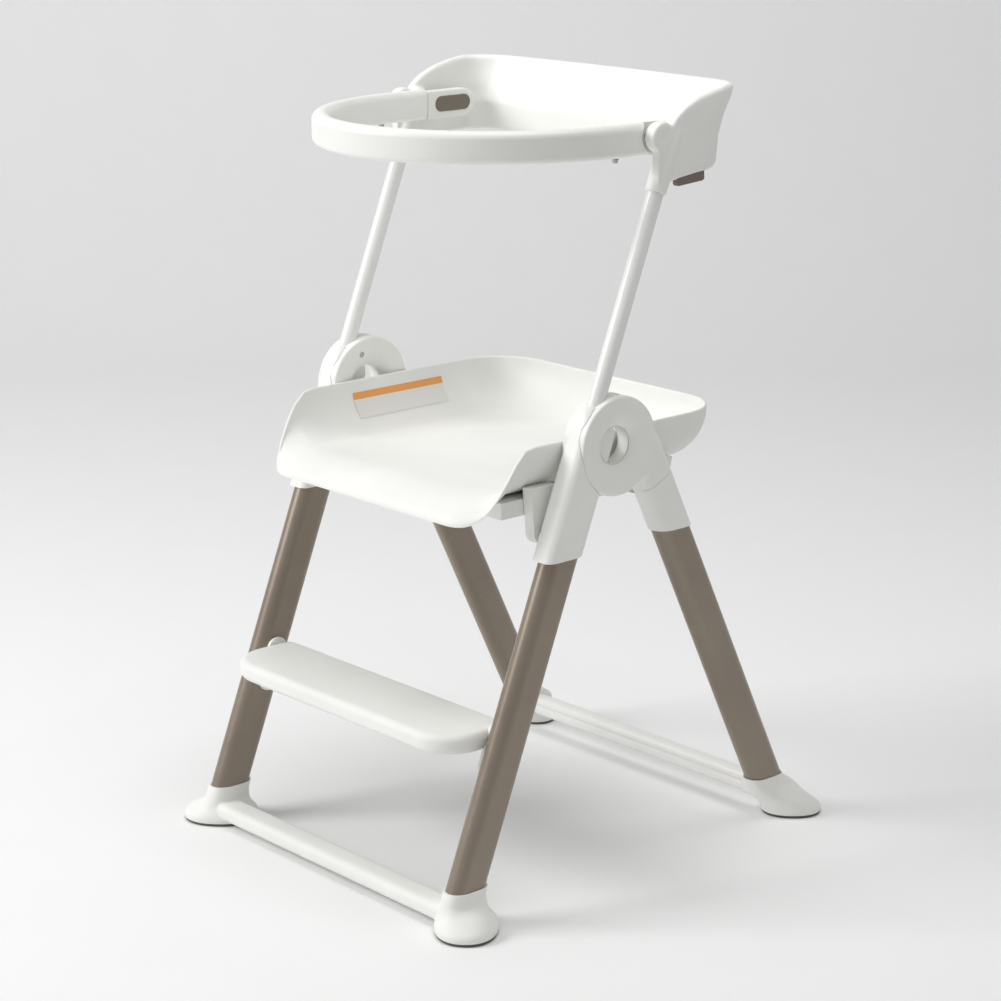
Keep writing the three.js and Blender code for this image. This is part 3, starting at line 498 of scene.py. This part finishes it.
def rear_casting():
    place = hub_place(REAR_TURN)
    bottom = along_rail(REAR_TURN, REAR_AXIS, REAR_SLEEVE_BOTTOM) - 40
    front = REAR_AXIS - REAR_SLEEVE_DEPTH / 2
    rear = REAR_AXIS + REAR_SLEEVE_DEPTH / 2

    def ring(z, rear_edge, front_edge):
        half_y = (rear_edge - front_edge) / 2
        corner = min(SLEEVE_CORNER, half_y - 0.2)
        outline = rounded(SLEEVE_WIDTH / 2, half_y, [corner] * 4)
        return [place(u, (rear_edge + front_edge) / 2 + v, z) for u, v in outline]

    neck = loft([
        ring(bottom, rear, front),
        ring(-36, rear, front),
        ring(-10, rear - 3, front - 6),
        ring(10, rear - 11, front - 12),
        ring(26, rear - 24, front - 17),
    ])
    disc = hub_drum(REAR_TURN, DISC_RADIUS, DISC_INNER, DISC_OUTER, 3)
    return melt(make("rear_casting", disc, neck), 1.2, 5)


def window():
    """The part of the middle plane that the front plate sweeps through."""
    place = hub_place(REAR_TURN)
    reach = DISC_RADIUS + 14
    start, end = math.pi / 2 - RIM_START, math.pi / 2 - RIM_END + 2 * math.pi
    turns = [mix(start, end, i / 40) for i in range(41)]
    arc = [(reach * math.cos(a), reach * math.sin(a)) for a in turns]
    return across(lambda _: [(0, 0)] + arc, -PLATE_HALF, PLATE_HALF, 0, place)


casting = rear_casting()
rear_bottom = along_rail(REAR_TURN, REAR_AXIS, REAR_SLEEVE_BOTTOM)
carve(
    casting,
    solid_spin(dish(DISC_OUTER, 1), REAR_TURN),
    solid_spin(dish(DISC_INNER, -1), REAR_TURN),
    hub_drum(REAR_TURN, HOLE_RADIUS, -40, 40),
    hub_drum(REAR_TURN, BUSH_RADIUS + GAP, -PLATE_HALF, PLATE_HALF),
    hub_drum(REAR_TURN, PLATE_RADIUS + 1, -PLATE_HALF, PLATE_HALF),
    window(),
    below(REAR_SLEEVE_BOTTOM),
)
cover = carve(
    copy_of(casting, "hub_cover"),
    block(-60, PLATE_HALF + GAP, -160, 200, -260, 160, hub_place(REAR_TURN)),
    block(-60, 60, -160, 200, -260, COVER_SEAM, hub_place(REAR_TURN)),
)
carve(
    casting,
    block(PLATE_HALF, 60, -120, 160, COVER_SEAM - 0.5, 140, hub_place(REAR_TURN)),
    leg_room(REAR_TURN, REAR_AXIS, rear_bottom - 40, rear_leg_top + 1),
    hub_drum(REAR_TURN, HUB_SCREW_RADIUS, -30, DISC_INNER + 4, 0, HUB_SCREW_Y, HUB_SCREW_Z, 24),
)
bush = make("hub_bush_ring", hub_drum(REAR_TURN, BUSH_RADIUS, GAP - PLATE_HALF, PLATE_HALF - GAP, 0.6))
carve(bush, hub_drum(REAR_TURN, HOLE_RADIUS, -40, 40))
pair(bush, "rear_frame", "hardware_steel", white, "hub_bush")
casting.name = "rear_hub_socket"
pair(casting, "rear_frame", "white_plastic", white, "rear_socket")
pair(cover, "rear_frame", "white_plastic", white, "hub_cover")
socket, plate = front_socket()
pair(socket, "front_frame", "white_plastic", white, "front_socket")
pair(plate, "front_frame", "white_plastic", white)


# ---------- posts ----------
def post():
    inner, edge = POST_RADIUS - POST_WALL, 0.3
    profile = [
        (POST_BOTTOM, inner), (POST_BOTTOM, POST_RADIUS - edge), (POST_BOTTOM + edge, POST_RADIUS),
        (POST_END - edge, POST_RADIUS), (POST_END, POST_RADIUS - edge), (POST_END, inner),
    ]

    def place(x, y, z):
        return on_rail(FRONT_TURN, RAIL_X + y, POST_AXIS + z, x)
    return make("post_tube", spun(profile, 48, place))


pair(post(), "front_frame", "white_metal", white_paint, "post")


# ---------- feet and floor bars ----------
# Rings from the floor up: half length along the toe's heading, half width, heading, how square the
# ring is (2 is an ellipse), x, y and z.
OUT_FRONT, OUT_REAR, ALONG_Y = -math.pi / 4, math.pi / 4, math.pi / 2
FRONT_FOOT = [
    [45, 35.5, OUT_FRONT, 2.2, 237, -280, 0],
    [46.6, 37, OUT_FRONT, 2.2, 237, -280, 3.5],
    [47.2, 37.6, OUT_FRONT, 2.2, 237, -280, 7.5],
    [44.5, 36, OUT_FRONT, 2.2, 236, -279.5, 13],
    [34, 30, OUT_FRONT, 2.2, 232, -278.5, 22],
    [30, 19, ALONG_Y, 2.6, 228, -277, 31],
    [28.8, 17.5, ALONG_Y, 2.6, 227, rail_y(FRONT_TURN, FRONT_AXIS, 41), 41],
    [28.8, 17.4, ALONG_Y, 2.6, 227, rail_y(FRONT_TURN, FRONT_AXIS, 56), 56],
]
REAR_FOOT = [
    [36.6, 28.6, OUT_REAR, 2.2, 241, 276, 0],
    [38, 30, OUT_REAR, 2.2, 241, 276, 3.5],
    [38.7, 30.6, OUT_REAR, 2.2, 241, 276, 8],
    [38, 30.5, OUT_REAR, 2.2, 239, 271, 15],
    [35, 28, OUT_REAR, 2.2, 233, 261, 26],
    [33, 20.5, ALONG_Y, 3, 228, 250.5, 40],
    [29, 17.6, ALONG_Y, 2.6, 227, rail_y(REAR_TURN, REAR_AXIS, 52), 52],
    [28.8, 17.4, ALONG_Y, 2.6, 227, rail_y(REAR_TURN, REAR_AXIS, 64), 64],
]
PAD_TOP = 3.2
FRONT_BAR = {"y": -286, "z": 18.5, "depth": 36, "height": 22}
REAR_BAR = {"y": 241, "z": 38, "depth": 22, "height": 28}
REAR_BAR_HALF = 197


def foot_ring(long, wide, heading, power, x, y, z, side=1, steps=48):
    ring = []
    for i in range(steps):
        a = 2 * math.pi * i / steps
        along, aside = abs(math.cos(a - heading)) / long, abs(math.sin(a - heading)) / wide
        reach = (along ** power + aside ** power) ** (-1 / power)
        ring.append(Vector((side * (x + reach * math.cos(a)), y + reach * math.sin(a), z)))
    return ring


def foot_body(rows, side=1):
    """Rings between two given rings mix their outlines, so the toe turns into the boot with no twist."""
    given = [foot_ring(*row, side=side) for row in rows]
    rings = []
    for k in range(len(given) - 1):
        p = [given[clamp_index(k + d, len(given))] for d in (-1, 0, 1, 2)]
        for i in range(4):
            rings.append([catmull(a, b, c, d, i / 4) for a, b, c, d in zip(*p)])
    rings.append(given[-1])
    return loft(rings)


def bar_outline(bar, corner, inset=0):
    flat = rounded(bar["depth"] / 2 - inset, bar["height"] / 2 - inset, [corner - inset] * 4)
    return [(bar["y"] + u, bar["z"] + v) for u, v in flat]


def bar_body(bar, x0, x1, corner):
    return across(lambda inset: bar_outline(bar, corner, inset), x0, x1)


def mirrored(body):
    points, faces = body
    return [Vector((-p.x, p.y, p.z)) for p in points], faces


front_bar = bar_body(FRONT_BAR, -RAIL_X - 1, RAIL_X + 1, 9.5)
base = make("front_base", foot_body(FRONT_FOOT), foot_body(FRONT_FOOT, -1), front_bar)
melt(base, 1.5, 8)
front_room = leg_room(FRONT_TURN, FRONT_AXIS, front_leg_bottom - 1, front_leg_top)
above_boot = block(150, 320, -FAR, -150, FRONT_BOOT_TOP, FRONT_BOOT_TOP + 60)
under_foot = block(-FAR, FAR, -FAR, 0, -40, PAD_TOP + GAP)
carve(base, above_boot, mirrored(above_boot), under_foot, front_room, mirrored(front_room))
single(base, "front_frame", "white_plastic", white_soft, "front_foot_R", "front_foot_L", "front_bar")

wider = {**REAR_BAR, "depth": REAR_BAR["depth"] + 4, "height": REAR_BAR["height"] + 3}
collar = bar_body(wider, REAR_BAR_HALF + GAP, RAIL_X - 4, 10)
rear_foot = melt(make("rear_foot_shoe", foot_body(REAR_FOOT), collar), 1.3, 7)
carve(
    rear_foot,
    block(150, 320, 150, FAR, REAR_BOOT_TOP, REAR_BOOT_TOP + 60),
    block(150, 320, 150, FAR, -40, PAD_TOP + GAP),
    level_room(REAR_TURN, REAR_AXIS, REAR_BOOT_TOP - REAR_BOOT_DEPTH - GAP, REAR_BOOT_TOP + 60),
    block(150, REAR_BAR_HALF + GAP, 150, FAR, 0, 100),
)
pair(rear_foot, "rear_frame", "white_plastic", white_soft, "rear_foot")


def grooved(inset):
    """Bar outline with a shallow channel along the middle of its front face."""
    middle_y, middle_z = REAR_BAR["y"], REAR_BAR["z"]
    out = bar_outline(REAR_BAR, 9, inset)
    front = middle_y - REAR_BAR["depth"] / 2 + inset
    turns = [math.radians(d) for d in range(-80, 81, 20)]
    channel = [(front + 2.6 * math.cos(a) ** 2, middle_z - 4 * math.sin(a)) for a in turns]
    left = [p for p in out if p[0] <= middle_y - 0.001 and p[1] > middle_z]
    low = [p for p in out if p[0] <= middle_y - 0.001 and p[1] < middle_z]
    right = [p for p in out if p[0] > middle_y - 0.001]
    upper = [p for p in right if p[1] >= middle_z]
    lower = [p for p in right if p[1] < middle_z]
    return upper + left + channel + low + lower


rear_bar = make("rear_floor_bar", across(grooved, -REAR_BAR_HALF, REAR_BAR_HALF, 0.6))
single(rear_bar, "rear_frame", "white_metal", white_paint, "rear_bar")


def pad(name, row):
    long, wide, *rest = row[:-1]
    rings = []
    for z, inset in [(0, 2), (0.3, 1.2), (1, 0.9), (PAD_TOP - 0.2, 0.4), (PAD_TOP, 0.8)]:
        rings.append(foot_ring(long - inset, wide - inset, *rest, z))
    return make(name, loft(rings))


pair(pad("front_foot_pad", FRONT_FOOT[1]), "front_frame", "foot_rubber", rubber, "front_pad")
pair(pad("rear_foot_pad", REAR_FOOT[1]), "rear_frame", "foot_rubber", rubber, "rear_pad")


# ---------- step ----------
def step_outline(inset):
    half_y = (STEP_BACK - STEP_FRONT) / 2
    middle = (STEP_BACK + STEP_FRONT) / 2
    radii = [STEP_BACK_CORNER - inset * 0.6] * 2 + [STEP_FRONT_CORNER - inset] * 2
    return [(u, middle + v) for u, v in rounded(STEP_HALF - inset, half_y - inset, radii, 14)]


def step_body():
    rings = []
    for z, inset in roll(STEP_TOP - STEP_THICKNESS, STEP_TOP, 9, 7):
        rings.append([Vector((x, y, z)) for x, y in step_outline(inset)])
    return make("step_board", loft(rings))


def bracket(grow, bevel):
    z0 = along_rail(FRONT_TURN, FRONT_AXIS, BRACKET_BOTTOM)
    z1 = along_rail(FRONT_TURN, FRONT_AXIS, BRACKET_TOP)

    def outline(inset):
        flat = obround(2 * (BRACKET_HALF + grow - inset), z1 - z0 + 2 * (grow - inset), 10)
        return [(FRONT_AXIS + u, (z0 + z1) / 2 + v) for u, v in flat]

    def place(x, y, z):
        return on_rail(FRONT_TURN, x, y, z)
    return across(outline, BRACKET_INNER - grow, BRACKET_OUTER + grow, bevel, place)


step = step_body()
carve(step, bracket(GAP, 0), mirrored(bracket(GAP, 0)))
single(step, "front_frame", "white_plastic", white_soft, "step_tread")
pair(make("step_mount", bracket(0, 1.5)), "front_frame", "white_plastic", white, "step_bracket")


# ---------- platform ----------
def tray_outline(inset):
    half_x, y0, y1 = TRAY_HALF - inset, TRAY_FRONT + inset, TRAY_BACK - inset
    back, front = TRAY_BACK_CORNER - inset, TRAY_FRONT_CORNER - inset

    def arc(cx, cy, r, quarter):
        turns = [(quarter + i / 16) * math.pi / 2 for i in range(17)]
        return [(cx + r * math.cos(a), cy + r * math.sin(a)) for a in turns]
    side_end = TRAY_FRONT + TRAY_FRONT_CORNER
    side = [mix(60, side_end, t / 16) for t in range(16)]
    return (
        arc(half_x - back, y1 - back, back, 0)
        + arc(-half_x + back, y1 - back, back, 1)
        + [(-half_x, y) for y in side]
        + arc(-half_x + front, y0 + front, front, 2)
        + arc(half_x - front, y0 + front, front, 3)
        + [(half_x, y) for y in reversed(side)]
    )


def rim_height(y):
    t = smoothstep((TRAY_RIM_END - y) / (TRAY_RIM_END - TRAY_FRONT))
    return TRAY_RIM - (TRAY_RIM - TRAY_LIP) * t


TRAY_EDGE = tray_outline(0)


def tray_ring(angle, thickness, floor):
    inset = thickness + (TRAY_SWEEP - thickness) * (1 - math.cos(angle))
    out = []
    for (x, y), edge in zip(tray_outline(inset), TRAY_EDGE):
        rim = rim_height(edge[1])
        out.append(Vector((x, y, rim - (rim - floor) * math.sin(angle))))
    return out


def tray_lip(turn):
    """Rings over the rim, from the outer skin to the inner one."""
    half = TRAY_WALL / 2
    inset = half - half * math.cos(turn)
    rise = half * math.sin(turn) * 1.2
    pairs = zip(tray_outline(inset), TRAY_EDGE)
    return [Vector((x, y, rim_height(edge[1]) + rise)) for (x, y), edge in pairs]


steps = [i / 14 * math.pi / 2 for i in range(15)]
rings = [tray_ring(a, 0, TRAY_FLOOR - TRAY_WALL) for a in reversed(steps)]
rings += [tray_lip(i / 6 * math.pi) for i in range(1, 6)]
rings += [tray_ring(a, TRAY_WALL, TRAY_FLOOR) for a in steps]
single(make("platform_shell", loft(rings)), "platform", "white_plastic", white_soft, "tray")


def label_patch():
    """A blank sticker with a coloured band along its upper edge, on the left wall's inner face."""
    bm = bmesh.new()
    rows = 12
    columns = 10
    grid = []
    for j in range(rows + 1):
        angle = mix(0.15, 0.55, j / rows) * math.pi / 2
        c, d = math.cos(angle), math.sin(angle)
        reach, depth = TRAY_SWEEP - TRAY_WALL, TRAY_RIM - TRAY_FLOOR
        x = -TRAY_HALF + TRAY_WALL + reach * (1 - c) + LABEL_PROUD * c
        z = TRAY_RIM + (LABEL_PROUD - depth) * d
        row = [Vector((x, mix(LABEL_FRONT, LABEL_BACK, i / columns), z)) for i in range(columns + 1)]
        grid.append([bm.verts.new(point * MM) for point in row])
    for j in range(rows):
        for i in range(columns):
            face = bm.faces.new([grid[j][i], grid[j][i + 1], grid[j + 1][i + 1], grid[j + 1][i]])
            face.material_index = 1 if j < 3 else 0
    mesh = bpy.data.meshes.new("label_patch")
    bm.to_mesh(mesh)
    bm.free()
    obj = bpy.data.objects.new("label_patch", mesh)
    bpy.context.scene.collection.objects.link(obj)
    return obj


patch = label_patch()
band_faces = [face.material_index for face in patch.data.polygons]
finish_piece(patch, "platform", [label_white, label_band], ["tray_label"])
for face, index in zip(patch.data.polygons, band_faces):
    face.material_index = index


# ---------- support rod ----------
def rod():
    end = RAIL_X - SLEEVE_WIDTH / 2 - GAP

    def outline(inset):
        return [(ROD_Y + u, ROD_Z + v) for u, v in circle(ROD_RADIUS - inset, 32)]
    return across(outline, -end, end, 0.8)


single(make("support_bar", rod()), "rear_frame", "hardware_steel", steel, "support_rod")


# ---------- backrest ----------
WING_BOTTOM = [(16, 836), (52, 839), (86, 843), (112, 845), (150, 849), (200, 854)]
WING_TOP = [(30, 888), (38, 903), (46, 915), (56, 924), (70, 932), (88, 938), (108, 942), (220, 942)]


def rear_at(z):
    return follow(BACK_PROFILE, z)


def back_point(s, z, offset):
    """s is 0 at a wing's front edge, 1 and 2 at the corner's two ends and 3 at the middle of the back."""
    x, r = BACK_HALF - offset, BACK_CORNER - offset
    y = rear_at(z) - offset
    if s <= 1:
        return x, mix(BACK_FRONT, y - r, s)
    if s <= 2:
        a = (s - 1) * math.pi / 2
        return x - r + r * math.cos(a), y - r + r * math.sin(a)
    t = s - 2
    return (x - r) * (1 - t), y + BACK_BOW * math.sin(t * math.pi / 2)


def back_ring(s, side):
    y_here = back_point(s, WING_TOP[0][1], 0)[1]
    low, high = follow(WING_BOTTOM, y_here), follow(WING_TOP, y_here)
    half = BACK_WALL / 2
    levels = [mix(low + half, high - half, i / 14) for i in range(15)]
    turns = [i / 8 * math.pi for i in range(1, 8)]
    outline = [(z, 0) for z in levels]
    outline += [(high - half + half * math.sin(a), half - half * math.cos(a)) for a in turns]
    outline += [(z, BACK_WALL) for z in reversed(levels)]
    outline += [(low + half - half * math.sin(a), half + half * math.cos(a)) for a in turns]
    out = []
    for z, offset in outline:
        x, y = back_point(s, z, offset)
        out.append(Vector((side * x, y, z)))
    return out


def post_sleeve():
    """The cap's outside: it swells a little round the post's end and closes above it."""
    profile = [(POST_TOP + GAP, 12.3), (POST_TOP + 1.2, 12.7), (POST_END, 13), (356, 13.2), (366, 12.6)]
    profile += [(373, 10.6), (378, 7)]
    rings = []
    for z, r in profile:
        rings.append([on_rail(FRONT_TURN, RAIL_X + u, POST_AXIS + v, z) for u, v in circle(r, 40)])
    return loft(rings)


def boss_outline(radius, steps):
    return [(BOSS_Y + u, BOSS_Z + v) for u, v in circle(radius, steps)]


def boss():
    return across(lambda inset: boss_outline(BOSS_RADIUS - inset, 56), BOSS_INNER, BOSS_OUTER, 3.5)


def trigger_body(grow, travel, bevel):
    """The fold trigger, or the room for it: grown by a gap and taller by its travel."""
    c, s = math.cos(TRIGGER_TILT), math.sin(TRIGGER_TILT)

    def place(x, y, z):
        z += travel / 2
        return Vector((x, TRIGGER_Y + y * c - z * s, TRIGGER_Z + y * s + z * c))

    def outline(inset):
        half_z = (TRIGGER_HEIGHT + travel) / 2
        return rounded(TRIGGER_HALF + grow - inset, half_z + grow - inset, [3.5] * 4, 6)
    middle = BACK_HALF - BACK_WALL / 2
    return across(outline, middle - 4 - grow, middle + 4 + grow, bevel, place)


stations = [i / 20 for i in range(20)] + [1 + i / 20 for i in range(20)] + [2 + i / 14 for i in range(15)]
rings = [back_ring(s, 1) for s in stations] + [back_ring(s, -1) for s in reversed(stations[:-1])]
back = make("backrest_shell", loft(rings), post_sleeve(), mirrored(post_sleeve()), boss(), mirrored(boss()))
melt(back, 1.5, 6)
room = trigger_body(GAP, TRIGGER_TRAVEL, 0)
post_flat = circle(POST_RADIUS + GAP, 48)
post_room = loft([[on_rail(FRONT_TURN, RAIL_X + u, POST_AXIS + v, z) for u, v in post_flat]
                  for z in (POST_TOP - 30, POST_END + GAP)])
carve(back, room, mirrored(room), post_room, mirrored(post_room))
single(back, "front_frame", "white_plastic", white, "backrest", "post_cap_R", "post_cap_L")
pair(make("fold_trigger_bar", trigger_body(0, 0, 1.2)), ("fold_trigger_right", "fold_trigger_left"),
     "taupe_plastic", taupe, "fold_trigger")


# ---------- guard rail ----------
def guard_path():
    middle = GUARD_OUTER - GUARD_THICKNESS / 2
    depth = GUARD_REACH - GUARD_THICKNESS / 2
    straight = [((middle, y), (1, 0)) for y in (ARM_SEAM, 36, BOSS_Y, 16, 5)]
    arc = []
    for i in range(81):
        a = i / 80 * math.pi
        normal = Vector((math.cos(a) * depth, -math.sin(a) * middle)).normalized()
        arc.append(((middle * math.cos(a), -5 - depth * math.sin(a)), (normal.x, normal.y)))
    back_side = [((-p[0], p[1]), (-n[0], n[1])) for p, n in reversed(straight)]
    return straight + arc + back_side


def guard_loop():
    half = (GUARD_TOP - GUARD_BOTTOM) / 2
    outline = rounded(GUARD_THICKNESS / 2, half, [9.5, 8.5, 8.5, 8.5], 8)
    rings = [[Vector((p[0] + n[0] * u, p[1] + n[1] * u, GUARD_BOTTOM + half + v)) for u, v in outline]
             for p, n in guard_path()]
    loop = make("guard_loop_bar", loft(rings))
    boss_room = across(lambda _: boss_outline(BOSS_RADIUS + 3 * GAP, 72), ARM_OUTER - 1, 260)
    behind = block(ARM_OUTER, 260, BOSS_Y - 4, 90, GUARD_BOTTOM - 5, GUARD_TOP + 5)
    return carve(loop, boss_room, mirrored(boss_room), behind, mirrored(behind))


def arm_outline(inset):
    bottom, top = GUARD_BOTTOM + 1 + inset, GUARD_TOP - 2 - inset
    r = (top - bottom) / 2
    seam = ARM_SEAM + GAP + inset * 0.3
    centre_y = ARM_TIP - inset - r
    out = [(seam, bottom)]
    out += [(centre_y + r * math.cos(a), (top + bottom) / 2 + r * math.sin(a))
            for a in [math.radians(d) for d in range(-90, 91, 9)]]
    out.append((seam, top))
    return out


def button_outline(grow):
    def outline(inset):
        flat = obround(BUTTON_WIDTH + 2 * (grow - inset), BUTTON_LENGTH + 2 * (grow - inset))
        return [(BUTTON_Y + v, BUTTON_Z + u) for u, v in flat]
    return outline


arm = make("guard_arm_housing", across(arm_outline, ARM_INNER, ARM_OUTER, 2.2))
carve(arm, across(button_outline(GAP), ARM_INNER - 5, ARM_INNER + 8.8))
single(guard_loop(), "guard_loop", "white_plastic", white, "guard_bow")
pair(arm, "guard_loop", "white_plastic", white, "guard_arm")
pair(make("release_key", across(button_outline(0), ARM_INNER - 1.2, ARM_INNER + 5.3, 1.2)),
     ("release_button_right", "release_button_left"), "taupe_plastic", taupe, "release_button")


# ---------- floor, light and camera ----------
def stage_floor():
    """A wide floor that curves up into a wall well behind the object."""
    front, back, side, bend, wall_top = -4000, 2600, 5200, 900, 2600
    turns = [i / 10 * math.pi / 2 for i in range(1, 11)]
    profile = [(front, 0), (back, 0)]
    profile += [(back + bend * math.sin(a), bend - bend * math.cos(a)) for a in turns]
    profile.append((back + bend, wall_top))
    away = Vector((-math.sin(CAMERA_TURN), math.cos(CAMERA_TURN), 0))
    aside = Vector((math.cos(CAMERA_TURN), math.sin(CAMERA_TURN), 0))
    points = []
    for offset in (-side, side):
        points += [away * d + aside * offset + Vector((0, 0, h - GAP)) for d, h in profile]
    count = len(profile)
    faces = [(i, i + 1, count + i + 1, count + i) for i in range(count - 1)]
    floor = make("studio_floor", (points, faces))
    for face in floor.data.polygons:
        face.use_smooth = True
    paint = surface("studio_floor_paint", linear(247, 247, 247), 0.75, tone=0.004, grain=60, relief=0.01)
    floor.data.materials.append(paint)


def area_light(name, position, target, size, power):
    data = bpy.data.lights.new(name, "AREA")
    data.shape = "RECTANGLE"
    data.size, data.size_y = size
    data.energy = power
    light = bpy.data.objects.new(name, data)
    light.location = position
    light.rotation_euler = (Vector(target) - Vector(position)).to_track_quat("-Z", "Y").to_euler()
    bpy.context.scene.collection.objects.link(light)


CAMERA_TURN, CAMERA_RISE = math.radians(47.723), math.radians(15.366)
CAMERA_PLACE, CAMERA_LENS, CAMERA_SENSOR = (2.36738, -2.16378, 1.29806), 95.84, 36
ROOM_LIGHT = 0.34
stage_floor()
# Each light: place, where it points, width and height, power.
area_light("key_softbox", (-1.95, -3.0, 2.4), (0, 0, 0.5), (1.8, 1.6), 92)
area_light("fill_softbox", (3.2, 2.2, 1.5), (0, 0, 0.5), (1.4, 1.8), 1)
area_light("top_softbox", (0.35, 0.1, 3.6), (0, 0, 0.4), (2.0, 2.0), 46)

world = bpy.data.worlds.new("studio")
world.use_nodes = True
world.node_tree.nodes["Background"].inputs["Color"].default_value = (1, 1, 1, 1)
world.node_tree.nodes["Background"].inputs["Strength"].default_value = ROOM_LIGHT
bpy.context.scene.world = world
bpy.context.scene.view_settings.view_transform = "Standard"

camera_data = bpy.data.cameras.new("photo_camera")
camera_data.lens = CAMERA_LENS
camera_data.sensor_width = CAMERA_SENSOR
camera = bpy.data.objects.new("photo_camera", camera_data)
camera.location = CAMERA_PLACE
level = math.cos(CAMERA_RISE)
look = Vector((-math.sin(CAMERA_TURN) * level, math.cos(CAMERA_TURN) * level, -math.sin(CAMERA_RISE)))
camera.rotation_euler = look.to_track_quat("-Z", "Y").to_euler()
bpy.context.scene.collection.objects.link(camera)
bpy.context.scene.camera = camera
